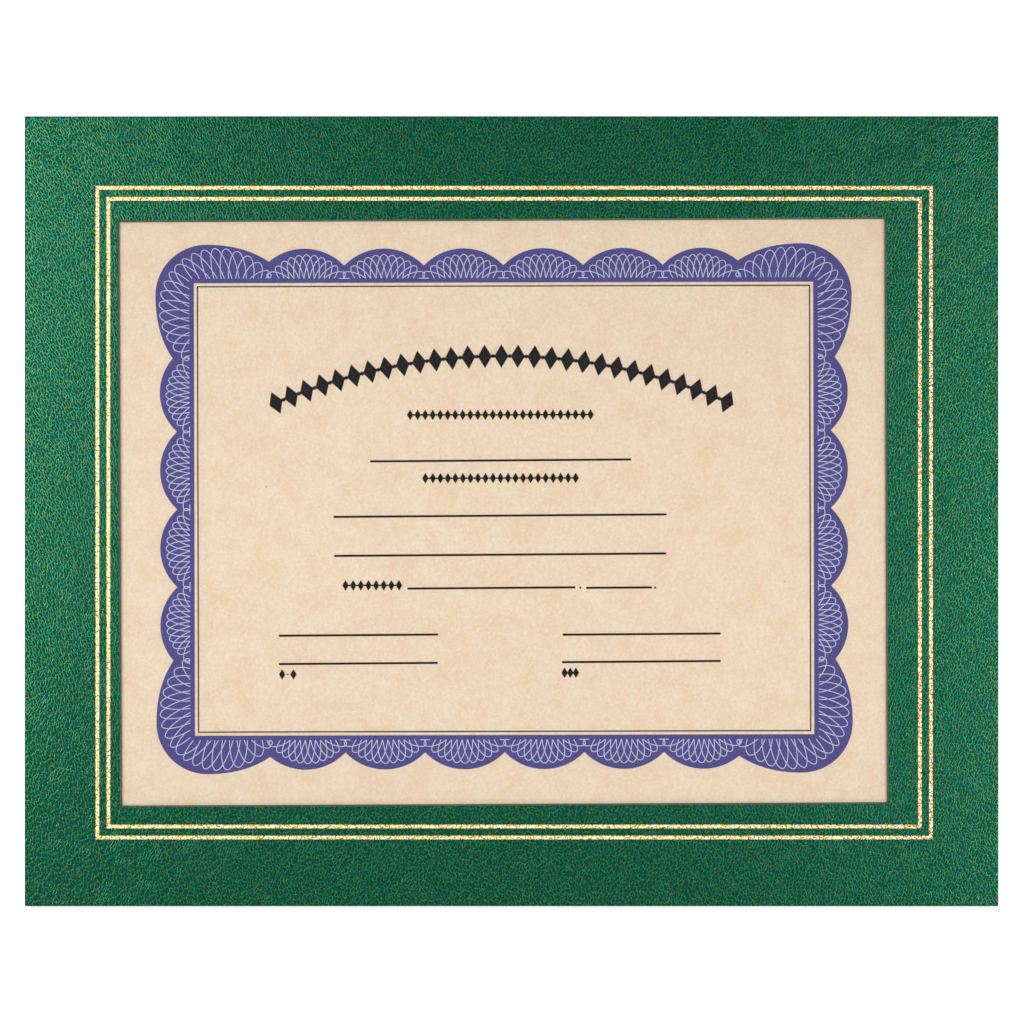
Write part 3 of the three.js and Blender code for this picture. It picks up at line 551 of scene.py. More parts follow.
@dataclass(frozen=True)
class Parchment(Finish):
    """Mottled parchment paper with pale wisps and a few dark specks.

    Attributes:
        paper: The usual colour.
        cloud: The colour of the paler clouds.
        shade: The colour of the darker clouds and fibres.
        wisp: The colour of the pale wisps and fibres.
        speck: The colour of the specks.
        cloud_size: The width of a cloud.
        fibre_size: The width of a tuft of fibres.
        wisp_size: The length, width and depth of a wisp.
        wisp_turn: How far the wisps are turned on the sheet.
        speck_spacing: The distance from speck to speck.
        grain_size: The width of the paper's grain.
        grain_depth: How deep the grain is.
    """

    paper: Colour = srgb(237, 215, 190)
    cloud: Colour = srgb(238, 218, 195)
    shade: Colour = srgb(233, 205, 174)
    wisp: Colour = srgb(241, 228, 212)
    speck: Colour = srgb(150, 110, 80)
    cloud_size: float = 9.0
    fibre_size: float = 0.9
    wisp_size: Triple = (3.6, 2.6, 3.0)
    wisp_turn: float = 1.1
    speck_spacing: float = 7.0
    grain_size: float = 0.4
    grain_depth: float = 0.012 * MM

    def material(self) -> Material:
        """Draws the clouds, fibres, wisps and specks.

        Returns:
            The paper's material.
        """
        shader = Shader("mottled_parchment")
        place = shader.place()
        clouds = shader.noise(place, self.cloud_size, 4.0, 0.62, 0.4)
        colour = shader.mix(shader.remap(clouds, 0.5, 0.66), self.paper, self.cloud)
        colour = shader.mix(shader.remap(clouds, 0.52, 0.36, 0.0, 0.6), colour, self.shade)
        fibre = shader.noise(place, self.fibre_size, 4.0, 0.75)
        colour = shader.mix(shader.remap(fibre, 0.5, 0.66, 0.0, 0.8), colour, self.wisp)
        colour = shader.mix(shader.remap(fibre, 0.5, 0.34, 0.0, 0.9), colour, self.shade)
        wisps = shader.noise(shader.stretched(place, self.wisp_turn, self.wisp_size), 1.0, 3.0, 0.7, 0.5)
        colour = shader.mix(shader.remap(wisps, 0.6, 0.74, 0.0, 0.55), colour, self.wisp)
        inputs = {"Vector": place, "Scale": 1 / self.speck_spacing, "Randomness": 1.0}
        near = shader.remap(shader.out("ShaderNodeTexVoronoi", inputs, "Distance"), 0.02, 0.045, 1.0, 0.0)
        chosen = shader.remap(shader.noise(place, self.cloud_size), 0.58, 0.62)
        colour = shader.mix(shader.times(near, chosen), colour, self.speck)
        grain = shader.noise(place, self.grain_size, 3.0, 0.6)
        return shader.finish(shader.principled({
            "Base Color": colour, "Roughness": shader.remap(grain, 0.3, 0.7, 0.78, 0.92),
            "Specular IOR Level": 0.25, "Normal": shader.bump(grain, self.grain_depth),
        }))


@dataclass(frozen=True)
class Ink(Finish):
    """Printing ink that lets a little of the paper's grain through.

    Attributes:
        name: The material's name.
        tone: The ink's colour.
        thin: The colour where the ink took badly.
        grain_size: The width of the paper's grain.
        wash_size: The width of a paler wash.
    """

    name: str
    tone: Colour
    thin: Colour
    grain_size: float = 0.5
    wash_size: float = 9.0

    def material(self) -> Material:
        """Draws the ink.

        Returns:
            The ink's material.
        """
        shader = Shader(self.name)
        place = shader.place()
        grain = shader.noise(place, self.grain_size, 3.0, 0.65)
        wash = shader.noise(place, self.wash_size, 2.0)
        share = shader.plus(shader.remap(grain, 0.5, 0.8, 0.0, 0.7), shader.remap(wash, 0.45, 0.75, 0.0, 0.3))
        return shader.finish(shader.principled({
            "Base Color": shader.mix(share, self.tone, self.thin),
            "Roughness": shader.remap(grain, 0.3, 0.7, 0.6, 0.75), "Specular IOR Level": 0.08,
        }))


@dataclass(frozen=True)
class PressedFibre(Finish):
    """Board, card and plain paper: pressed fibre in thin layers, rough where it is cut.

    Attributes:
        name: The material's name.
        tone: The usual colour.
        pale: The colour of the paler fibres.
        layer: How thick one pressed layer is.
        tuft: How far a tuft of fibres spreads in its layer.
        speck: The width of a speck.
        waver: The scale at which the layers waver and how far they do.
        relief: How deep the fibres stand.
    """

    name: str
    tone: Colour
    pale: Colour
    layer: float = 0.22
    tuft: float = 2.6
    speck: float = 0.5
    waver: tuple[float, float] = (2.0, 0.15)
    relief: float = 0.03 * MM

    def material(self) -> Material:
        """Draws the fibres.

        Returns:
            The board's material.
        """
        shader = Shader(self.name)
        place = shader.warped(shader.place(), *self.waver)
        flattened = shader.stretched(place, 0.0, (self.tuft, self.tuft, self.layer))
        layers = shader.noise(flattened, 1.0, 3.0, 0.65)
        specks = shader.noise(place, self.speck, 3.0, 0.7)
        share = shader.times(shader.remap(layers, 0.35, 0.7), shader.remap(specks, 0.25, 0.7))
        return shader.finish(shader.principled({
            "Base Color": shader.mix(share, self.tone, self.pale),
            "Roughness": shader.remap(specks, 0.3, 0.7, 0.85, 0.97), "Specular IOR Level": 0.15,
            "Normal": shader.bump(layers, self.relief),
        }))


@dataclass(frozen=True)
class CoverPaper(Finish):
    """Black cover paper with a fine pebbled emboss and rubbed high spots.

    Attributes:
        name: The material's name.
        ground: The usual colour.
        rubbed: The colour of the rubbed high spots.
        cell: The width of a pebble.
        cell_turn: How far the rows of pebbles are turned.
        waver: The scale at which the pebbles waver and how far they do.
        rub_size: The width of a rubbed patch.
        tooth: The width of the paper's own tooth.
        emboss: How deep the pebbles are pressed.
        lean: The lean of the surface it covers.
    """

    name: str
    ground: Colour = srgb(26, 27, 29)
    rubbed: Colour = srgb(58, 59, 62)
    cell: float = 0.8
    cell_turn: float = 0.3
    waver: tuple[float, float] = (1.5, 0.2)
    rub_size: float = 30.0
    tooth: float = 0.3
    emboss: float = 0.045 * MM
    lean: float = PLANE.lean

    def material(self) -> Material:
        """Draws the pebbles and where they are rubbed.

        Returns:
            The cover paper's material.
        """
        shader = Shader(self.name)
        place = shader.place(self.lean)
        wavy = shader.warped(place, *self.waver)
        pebbles = shader.edges(shader.stretched(wavy, self.cell_turn, (self.cell,) * 3))
        domes = shader.remap(pebbles, 0.0, 0.28)
        wear = shader.noise(place, self.rub_size, 4.0, 0.6)
        fine = shader.noise(place, self.tooth, 2.0)
        rub = shader.times(domes, shader.remap(wear, 0.45, 0.75, 0.15, 0.8))
        height = shader.plus(domes, shader.times(fine, 0.3))
        return shader.finish(shader.principled({
            "Base Color": shader.mix(rub, self.ground, self.rubbed),
            "Roughness": shader.remap(wear, 0.3, 0.7, 0.62, 0.5), "Specular IOR Level": 0.35,
            "Normal": shader.bump(height, self.emboss),
        }))


@dataclass(frozen=True)
class ClearFilm(Finish):
    """Thin clear plastic sheet, a little wavy, that shows only its reflections.

    Attributes:
        tint: The colour that it lets through.
        ior: The index of refraction that its reflections follow.
        wave: The width of a wave.
        wave_depth: How deep the waves are.
        scuff: The length, width and depth of a scuff.
        scuff_turn: How far the scuffs are turned.
    """

    tint: Colour = (0.985, 0.99, 0.985, 1.0)
    ior: float = 1.2
    wave: float = 60.0
    wave_depth: float = 0.25 * MM
    scuff: Triple = (14.0, 1.2, 1.0)
    scuff_turn: float = 0.6

    def material(self) -> Material:
        """Draws the film's reflections.

        Returns:
            The film's material.
        """
        shader = Shader("clear_film")
        place = shader.place()
        normal = shader.bump(shader.noise(place, self.wave, 1.0), self.wave_depth)
        scuffs = shader.noise(shader.stretched(place, self.scuff_turn, self.scuff), 1.0, 4.0, 0.7)
        clear = shader.out("ShaderNodeBsdfTransparent", {"Color": self.tint})
        shine = shader.out("ShaderNodeBsdfGlossy", {
            "Color": WHITE, "Normal": normal, "Roughness": shader.remap(scuffs, 0.5, 0.8, 0.05, 0.16),
        })
        mirror = shader.out("ShaderNodeFresnel", {"IOR": self.ior, "Normal": normal})
        return shader.finish(shader.out("ShaderNodeMixShader", {0: mirror, 1: clear, 2: shine}))


@dataclass(frozen=True)
class PlatedMetal(Finish):
    """Bright plating over stamped metal, with rolling marks and handling smears.

    Attributes:
        name: The material's name.
        tone: The plating's colour.
        worn: The colour where the plating has dulled.
        roughness: How rough the bright plating is.
        dulling: How much rougher it is where it has dulled.
        smear: The width of a smear.
        rolling: The length, width and depth of a rolling mark.
        rolling_depth: How deep the rolling marks are.
    """

    name: str
    tone: Colour
    worn: Colour
    roughness: float
    dulling: float = 0.2
    smear: float = 3.0
    rolling: Triple = (6.0, 0.15, 0.15)
    rolling_depth: float = 0.006 * MM

    def material(self) -> Material:
        """Draws the plating's marks and smears.

        Returns:
            The metal's material.
        """
        shader = Shader(self.name)
        place = shader.place(None)
        smears = shader.noise(place, self.smear, 4.0, 0.65)
        rolled = shader.noise(shader.stretched(place, 0.0, self.rolling), 1.0, 2.0)
        rough = shader.plus(shader.remap(smears, 0.35, 0.75, self.roughness, self.roughness + self.dulling),
                            shader.times(rolled, 0.06))
        return shader.finish(shader.principled({
            "Base Color": shader.mix(shader.remap(smears, 0.5, 0.8), self.tone, self.worn),
            "Metallic": 1.0, "Roughness": rough, "Normal": shader.bump(rolled, self.rolling_depth),
        }))


@dataclass(frozen=True)
class SatinRibbon(Finish):
    """Black woven ribbon with cross ribs and a firm edge, drawn on the ribbon's own map in millimetres.

    Attributes:
        thread: The colour of the thread.
        light: The colour where the thread catches the light.
        rib: The distance from rib to rib.
        warp: The distance between warp threads, as a share of that.
        slub: The width of a thick place in the thread.
        relief: How deep the weave is.
        sheen: How strongly its fibres shine.
    """

    thread: Colour = srgb(30, 30, 33)
    light: Colour = srgb(66, 66, 72)
    rib: float = 0.42
    warp: float = 0.6
    slub: float = 1.6
    relief: float = 0.02 * MM
    sheen: float = 0.5

    def material(self) -> Material:
        """Draws the weave.

        Returns:
            The ribbon's material.
        """
        shader = Shader("black_satin_ribbon")
        source = shader.out("ShaderNodeTexCoord", output="UV")
        across, along = shader.node("ShaderNodeSeparateXYZ", {0: source}).outputs[:2]
        rib = shader.math("SINE", shader.times(along, 2 * math.pi / self.rib))
        warp = shader.math("SINE", shader.times(across, 2 * math.pi / (self.rib * self.warp)))
        weave = shader.plus(shader.times(rib, 0.7), shader.times(warp, 0.3))
        slubs = shader.noise(source, self.slub, 2.0)
        share = shader.remap(shader.plus(weave, slubs), 0.2, 1.5, 0.0, 0.8)
        return shader.finish(shader.principled({
            "Base Color": shader.mix(share, self.thread, self.light),
            "Roughness": shader.remap(slubs, 0.3, 0.7, 0.42, 0.6), "Sheen Weight": self.sheen,
            "Normal": shader.bump(weave, self.relief),
        }))


def made(finish: Finish) -> Material:
    """Declares a material that is made from its finish once the finishes are gathered."""
    return field(default_factory=finish.material)


@dataclass
class Finishes:
    """Every material of the holder, made once and given to its pieces."""

    leather: Material = made(Leatherette())
    foil: Material = made(BrokenFoil())
    parchment: Material = made(Parchment())
    violet_ink: Material = made(Ink("violet_ink", srgb(80, 74, 138), srgb(98, 88, 150)))
    lace_ink: Material = made(Ink("pale_lace_ink", srgb(216, 218, 240), srgb(190, 190, 226)))
    black_ink: Material = made(Ink("black_ink", srgb(4, 3, 4), srgb(22, 16, 16)))
    board: Material = made(PressedFibre("greyboard", srgb(86, 92, 78), srgb(116, 118, 100)))
    card: Material = made(PressedFibre("spacer_card", srgb(168, 158, 134), srgb(192, 184, 160)))
    tape: Material = made(PressedFibre("adhesive_tape", srgb(226, 220, 200), srgb(238, 234, 220), 0.05))
    lining: Material = made(PressedFibre("black_lining", srgb(34, 34, 36), srgb(56, 56, 58), 0.1))
    back_paper: Material = made(CoverPaper("black_back_paper"))
    leg_paper: Material = made(CoverPaper("black_leg_paper", lean=LEG_PLANE.lean))
    film: Material = made(ClearFilm())
    nickel: Material = made(PlatedMetal("nickel_plate", srgb(196, 193, 187), srgb(150, 146, 138), 0.28))
    brass: Material = made(PlatedMetal("brass_plate", srgb(222, 184, 104), srgb(176, 138, 74), 0.22))
    ribbon: Material = made(SatinRibbon())


def collect(name: str, data: bpy.types.ID, material: Material | None = None) -> Piece:
    """Puts a mesh, a lamp or a camera into the scene as an object at the origin.

    Args:
        name: The object's name.
        data: What it shows: if a mesh, then in the row frame.
        material: The mesh's material, unless it brings its own.

    Returns:
        The new object.
    """
    piece = bpy.data.objects.new(name, data)
    bpy.context.scene.collection.objects.link(piece)
    if material is not None:
        data.materials.clear()
        data.materials.append(material)
    return piece


def finished(carrier: Piece) -> Mesh:
    """Keeps an object's finished shape as a plain mesh, and removes the object with its modifiers."""
    graph = bpy.context.evaluated_depsgraph_get()
    mesh = bpy.data.meshes.new_from_object(carrier.evaluated_get(graph))
    bpy.data.objects.remove(carrier)
    return mesh


def fit(piece: Piece, body: Body, replaced: Sequence[str] = ()) -> None:
    """Args:
        piece: The finished piece.
        body: The body that it moves with.
        replaced: The CAD nodes that it stands for.
    """
    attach(piece, body.value)
    if replaced:
        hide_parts(*replaced)
    LOG.info("%s rides on %s: %d faces", piece.name, body.value, len(piece.data.polygons))


def smooth_by_angle(mesh: Mesh) -> None:
    """Shades a mesh smooth, except across its sharp edges."""
    mesh.shade_smooth()
    mesh.set_sharp_from_angle(angle=SHARP)


def mesh_of(name: str, form: Form, matrix: Matrix | None = None) -> Mesh:
    """Turns a worked form into a mesh.

    Args:
        name: The mesh's name.
        form: The form, which is freed.
        matrix: Lays the mesh into the row frame, if it isn't there yet.

    Returns:
        The new mesh, with its faces outwards.
    """
    mesh = bpy.data.meshes.new(name)
    bmesh.ops.recalc_face_normals(form, faces=form.faces)
    form.to_mesh(mesh)
    form.free()
    if matrix is not None:
        mesh.transform(matrix)
    return mesh


def plate(form: Form, rings: Sequence[Sequence[Vector]], low: float, high: float) -> None:
    """Adds a flat closed plate to a form.

    Args:
        form: What the plate is added to.
        rings: Its outline, then its holes, as points whose x and y count.
        low: The height of its underside.
        high: The height of its top.
    """
    flat_rings = [[Vector((point.x, point.y, 0.0)) for point in ring] for ring in rings]
    points = [point for ring in flat_rings for point in ring]
    levels = [[form.verts.new((point.x, point.y, level)) for point in points] for level in (low, high)]
    for triangle in tessellate_polygon(flat_rings):
        for level in levels:
            form.faces.new([level[index] for index in triangle])
    start = 0
    for ring in flat_rings:
        for step in range(len(ring)):
            here, ahead = start + step, start + (step + 1) % len(ring)
            form.faces.new([levels[0][here], levels[0][ahead], levels[1][ahead], levels[1][here]])
        start += len(ring)


def skin(form: Form, rings: Sequence[Sequence[bmesh.types.BMVert]],
         closed: bool = False) -> list[bmesh.types.BMFace]:
    """Joins rings of vertices, of which some may be a single point, into a skin.

    Args:
        form: What the skin is added to.
        rings: The rings, in turn.
        closed: Whether the last ring is joined to the first.

    Returns:
        Its faces, ring by ring.
    """
    faces = []
    count = max(len(ring) for ring in rings)
    for here, ahead in zip(rings, [*rings[1:], rings[0]] if closed else rings[1:]):
        for step in range(count):
            after = (step + 1) % count
            corners = [here[step % len(here)], here[after % len(here)],
                       ahead[after % len(ahead)], ahead[step % len(ahead)]]
            faces.append(form.faces.new(list(dict.fromkeys(corners))))
    return faces


def arc(start: Vector, end: Vector, rise: float, steps: int) -> list[Vector]:
    """Points on a round arc that bulges to the left of the way from start to end.

    Args:
        start: Its first point.
        end: Its last point.
        rise: How far its middle stands off the straight line.
        steps: How many stretches it has.

    Returns:
        Its points, with both ends.
    """
    across = end - start
    half = across.length / 2
    radius = (half * half + rise * rise) / (2 * rise)
    out = Vector((-across.y, across.x, 0.0)).normalized()
    centre = (start + end) / 2 + out * (rise - radius)
    spread = math.asin(min(1.0, half / radius))
    angles = [spread * (2 * step / steps - 1) for step in range(steps + 1)]
    along = across.normalized()
    return [centre + (along * math.sin(angle) + out * math.cos(angle)) * radius for angle in angles]


class Tree(Graph):
    """A Geometry Nodes tree that turns a host mesh into one plain mesh."""

    def __init__(self, name: str, *labels: str, **others: str) -> None:
        """Makes a tree with a geometry input, a material input and more inputs.

        Args:
            name: The tree's name.
            *labels: The names of its number inputs.
            **others: The kinds of its other inputs, by name.
        """
        super().__init__(bpy.data.node_groups.new(name, "GeometryNodeTree"))
        face = self.tree.interface
        face.new_socket("Geometry", in_out="INPUT", socket_type="NodeSocketGeometry")
        face.new_socket("Geometry", in_out="OUTPUT", socket_type="NodeSocketGeometry")
        kinds = {**dict.fromkeys(labels, "Float"), **others, "Material": "Material"}
        self.sockets = {
            label: face.new_socket(label, in_out="INPUT", socket_type=f"NodeSocket{kind}").identifier
            for label, kind in kinds.items()
        }
        self.given = self.node("NodeGroupInput")

    def input(self, label: str) -> Socket:
        """The group input of that name."""
        return self.given.outputs[label]

    def end(self, geometry: Socket) -> None:
        """Realizes the copies, sets the material and joins the result to the output."""
        real = self.out("GeometryNodeRealizeInstances", {0: geometry})
        painted = self.out("GeometryNodeSetMaterial", {"Geometry": real, "Material": self.input("Material")})
        self.node("NodeGroupOutput", {0: painted})

    def grow(self, name: str, host: Mesh, material: Material,
             values: dict[str, object], matrix: Matrix) -> Piece:
        """Runs the tree on a host mesh and keeps the result as a plain mesh.

        Args:
            name: The new piece's name.
            host: The points and edges that the tree works on.
            material: The piece's material.
            values: A value for each other input.
            matrix: Lays the result into the row frame.

        Returns:
            The new piece.
        """
        carrier = collect(f"{name}_host", host)
        modifier = carrier.modifiers.new("grow", "NODES")
        modifier.node_group = self.tree
        for label, value in {**values, "Material": material}.items():
            modifier[self.sockets[label]] = value
        mesh = finished(carrier)
        mesh.name = name
        mesh.transform(matrix)
        return collect(name, mesh)


def line_tree() -> Tree:
    """Makes the tree that gives drawn lines the width and thickness of printed ink.

    Returns:
        A tree with the inputs Width, Thickness and Lift.
    """
    tree = Tree("ink_line", "Width", "Thickness", "Lift")
    curve = tree.out("GeometryNodeMeshToCurve", {0: tree.input("Geometry")})
    curve = tree.out("GeometryNodeSetCurveNormal", {0: curve}, mode="Z_UP")
    section = tree.out("GeometryNodeCurvePrimitiveQuadrilateral",
                       {"Width": tree.input("Width"), "Height": tree.input("Thickness")})
    solid = tree.out("GeometryNodeCurveToMesh", {"Curve": curve, "Profile Curve": section, "Fill Caps": True})
    lift = tree.out("ShaderNodeCombineXYZ", {2: tree.input("Lift")})
    tree.end(tree.out("GeometryNodeSetPosition", {"Geometry": solid, "Offset": lift}))
    return tree


def motif_tree() -> Tree:
    """Makes the tree that sets lozenges and dots in turn on the points of drawn lines.

    Returns:
        A tree with the inputs Tall, Wide, Dot, Thickness and Lift.
    """
    tree = Tree("motif_row", "Tall", "Wide", "Dot", "Thickness", "Lift")
    points = tree.out("GeometryNodeMeshToCurve", {0: tree.input("Geometry")})
    tangent = tree.out("GeometryNodeInputTangent")
    turn = tree.out("FunctionNodeAlignRotationToVector", {"Vector": tangent}, axis="X", pivot_axis="Z")
    odd = tree.math("MODULO", tree.out("GeometryNodeSplineParameter", output="Index"), 2.0)
    even = tree.math("SUBTRACT", 1.0, odd)
    joined = tree.node("GeometryNodeJoinGeometry")
    for corners, wide, tall, chosen in ((4, "Wide", "Tall", even), (14, "Dot", "Dot", odd)):
        inputs = {"Vertices": corners, "Radius": 0.5, "Depth": tree.input("Thickness")}
        size = tree.out("ShaderNodeCombineXYZ", {0: tree.input(wide), 1: tree.input(tall), 2: 1.0})
        form = tree.out("GeometryNodeMeshCylinder", inputs)
        sized = tree.out("GeometryNodeTransform", {"Geometry": form, "Scale": size})
        row = tree.out("GeometryNodeInstanceOnPoints", {
            "Points": points, "Selection": chosen, "Instance": sized, "Rotation": turn})
        tree.tree.links.new(row, joined.inputs[0])
    lift = tree.out("ShaderNodeCombineXYZ", {2: tree.input("Lift")})
    tree.end(tree.out("GeometryNodeSetPosition", {"Geometry": joined.outputs[0], "Offset": lift}))
    return tree


def wire_tree() -> Tree:
    """Makes the tree that runs round wire along a closed line.

    Returns:
        A tree with the input Radius.
    """
    tree = Tree("bent_wire", "Radius")
    curve = tree.out("GeometryNodeMeshToCurve", {0: tree.input("Geometry")})
    section = tree.out("GeometryNodeCurvePrimitiveCircle", {"Resolution": 20, "Radius": tree.input("Radius")})
    solid = tree.out("GeometryNodeCurveToMesh", {"Curve": curve, "Profile Curve": section})
    tree.end(tree.out("GeometryNodeSetShadeSmooth", {0: solid}))
    return tree


def fastener_tree() -> Tree:
    """Makes the tree that sets one turned form at each point of its host.

    Returns:
        A tree with the input Turn, and the form to copy.
    """
    tree = Tree("set_fasteners", Turn="Vector", Form="Object")
    form = tree.out("GeometryNodeObjectInfo", {"Object": tree.input("Form")}, "Geometry")
    points = tree.out("GeometryNodeMeshToPoints", {0: tree.input("Geometry")})
    tree.end(tree.out("GeometryNodeInstanceOnPoints",
                      {"Points": points, "Instance": form, "Rotation": tree.input("Turn")}))
    return tree


def host_of(lines: Iterable[Sequence[Vector]], closed: bool = False) -> Mesh:
    """Makes a host mesh of drawn lines, or of loose points where a line has only one.

    Args:
        lines: The points of each line, in flat coordinates.
        closed: Whether each line ends where it starts.

    Returns:
        The host mesh.
    """
    points: list[Vector] = []
    edges: list[tuple[int, int]] = []
    for line in lines:
        first = len(points)
        points.extend(line)
        edges.extend((first + step, first + step + 1) for step in range(len(line) - 1))
        if closed:
            edges.append((len(points) - 1, first))
    mesh = bpy.data.meshes.new("host")
    mesh.from_pydata(points, edges, [])
    return mesh


@dataclass(frozen=True)
class Loop:
    """A rounded rectangle at one depth behind the front face: one turn of a cover's section.

    Attributes:
        half: Half of its width and height.
        depth: How far it lies behind the front face.
        corner: The radius of its corners.
        middle: Its middle on the face.
        turn: How far it is turned on the face, in radians.
    """

    half: tuple[float, float]
    depth: float
    corner: float
    middle: tuple[float, float] = (0.0, 0.0)
    turn: float = 0.0

    def points(self, steps: int) -> list[Vector]:
        """Draws the loop.

        Args:
            steps: How many stretches each corner has.

        Returns:
            Its points in flat coordinates.
        """
        turning = Matrix.Rotation(self.turn, 2)
        found = []
        for quarter, (side_x, side_y) in enumerate(((1, 1), (-1, 1), (-1, -1), (1, -1))):
            centre = Vector((side_x * (self.half[0] - self.corner), side_y * (self.half[1] - self.corner)))
            for step in range(steps + 1):
                angle = (quarter + step / steps) * math.pi / 2
                point = turning @ (centre + Vector((math.cos(angle), math.sin(angle))) * self.corner)
                found.append(Vector((point.x + self.middle[0], point.y + self.middle[1], -self.depth)))
        return found


@dataclass(frozen=True)
class Opening:
    """The die-cut window: its middle, its half width and height, and its turn on the face."""

    middle: tuple[float, float]
    half: tuple[float, float]
    turn: float


@dataclass
class FrontCover:
    """The grained cover: wrapped round the board, cut at the window and pressed in under the foil.

    Attributes:
        finishes: The holder's materials.
        thickness: The cover's thickness.
        turn_in: How far the cover is folded in behind the board.
        wrap_radius: The rounding where it folds over the board's edges.
        flat_from: How far inside its outer edge the face is flat.
        cut_radius: The rounding that the die leaves along the window's edge.
        foil_width: The width of a stamped line.
        groove_depth: How deep the stamp presses.
        groove_clearance: The room beside the foil in its groove.
        shoulder: The rounding of a groove's edges.
        wall: Inset and depth of each step down a groove's wall, in shoulders.
        corner: The radius of the smallest corners.
        corner_steps: Steps at each rounded corner.
    """

    finishes: Finishes
    thickness: float = 0.35 * MM
    turn_in: float = 15 * MM
    wrap_radius: float = 0.42 * MM
    flat_from: float = 0.63 * MM
    cut_radius: float = 0.16 * MM
    foil_width: float = 1.25 * MM
    groove_depth: float = 0.16 * MM
    groove_clearance: float = 0.05 * MM
    shoulder: float = 0.09 * MM
    wall: tuple[tuple[float, float], ...] = ((-1.6, 0.0), (-1.0, 0.0), (-0.3, 0.3), (0.0, 1.0))
    corner: float = 0.12 * MM
    corner_steps: int = 4

    def window(self) -> Opening:
        """Finds the window on the front face from the corners of the CAD cover's cut.

        Returns:
            The window.
        """
        low, high = PLANE.box("inner_foil_line")
        reach = 2 * self.foil_width
        points = [PLANE.flat(vertex.co).xy for vertex in frame["nodes"]["front_cover"].data.vertices]
        inner = [point for point in points
                 if low.x + reach < point.x < high.x - reach and low.y + reach < point.y < high.y - reach]
        corners = [max(inner, key=lambda point: side_x * point.x + side_y * point.y)
                   for side_x, side_y in ((1, 1), (-1, 1), (-1, -1), (1, -1))]
        top, side = corners[0] - corners[1], corners[0] - corners[3]
        middle = sum(corners, Vector((0.0, 0.0))) / len(corners)
        return Opening(tuple(middle), (top.length / 2, side.length / 2), math.atan2(top.y, top.x))

    @staticmethod
    def quarter(radius: float, steps: int = 4) -> list[tuple[float, float]]:
        """Inset and depth of the points round a quarter turn, from the face down to the edge."""
        angles = [step / steps * math.pi / 2 for step in range(steps + 1)]
        return [(radius * (1 - math.sin(angle)), radius * (1 - math.cos(angle))) for angle in angles]

    def groove(self, foil_node: str) -> list[Loop]:
        """Draws the groove that a foil line lies in.

        Args:
            foil_node: The CAD node of the foil line.

        Returns:
            The groove's loops, from its outer edge to its inner edge.
        """
        low, high = PLANE.box(foil_node)
        middle = (low + high) / 2
        outer = (high - low) / 2
        width = self.foil_width + 2 * self.groove_clearance
        steps = [(across * self.shoulder, down * self.shoulder) for across, down in self.wall]
        steps.append((0.0, self.groove_depth))
        steps += [(width - across, down) for across, down in reversed(steps)]
        return [Loop((outer.x + self.groove_clearance - inset, outer.y + self.groove_clearance - inset),
                     depth, self.corner, (middle.x, middle.y)) for inset, depth in steps]

    def build(self) -> None:
        """Builds the cover and puts it in the CAD cover's place."""
        low, high = PLANE.box("front_cover")
        half = (high - low) / 2
        depth = high.z - low.z
        opening = self.window()

        def outside(inset: float, level: float) -> Loop:
            """A loop set in from the outer edge."""
            return Loop((half.x - inset, half.y - inset), level, max(self.wrap_radius - inset, self.corner))

        def cut(inset: float, level: float) -> Loop:
            """A loop set out from the window's edge."""
            return Loop((opening.half[0] + inset, opening.half[1] + inset), level, self.corner,
                        opening.middle, opening.turn)

        fold = self.quarter(self.wrap_radius)
        loops = [outside(self.turn_in, depth), outside(self.flat_from, depth)]
        loops += [outside(inset, depth - level) for inset, level in fold]
        loops += [outside(inset, level) for inset, level in reversed(fold)]
        loops += [outside(self.flat_from, 0.0)]
        loops += [*self.groove("outer_foil_line"), *self.groove("inner_foil_line")]
        loops += [cut(2 * self.cut_radius, 0.0)]
        loops += [cut(inset, level) for inset, level in self.quarter(self.cut_radius)]
        loops += [cut(0.0, self.thickness), outside(self.thickness, self.thickness)]
        loops += [outside(inset, depth - self.thickness) for inset in (self.thickness, self.turn_in)]
        form = bmesh.new()
        rings = [[form.verts.new(point) for point in loop.points(self.corner_steps)] for loop in loops]
        skin(form, rings, closed=True)
        mesh = mesh_of("grained_front_cover", form, PLANE.matrix)
        smooth_by_angle(mesh)
        piece = collect("grained_front_cover", mesh, self.finishes.leather)
        fit(piece, Body.FRAME, ["front_cover"])


@dataclass(frozen=True)
class Side:
    """One side of the printed border, drawn from a corner of its inner edge to the next one.

    Attributes:
        start: The corner where it starts.
        along: The direction to the next corner.
        out: The direction away from the middle of the print.
        length: How long it is.
        count: How many small scallops it has.
    """

    start: Vector
    along: Vector
    out: Vector
    length: float
    count: int

    def at(self, along: float, out: float) -> Vector:
        """The point this far along the side and this far outside its inner edge."""
        return self.start + self.along * along + self.out * out

    def mirrored(self) -> Side:
        """The same side, drawn from its other end."""
        return Side(self.at(self.length, 0.0), -self.along, self.out, self.length, self.count)


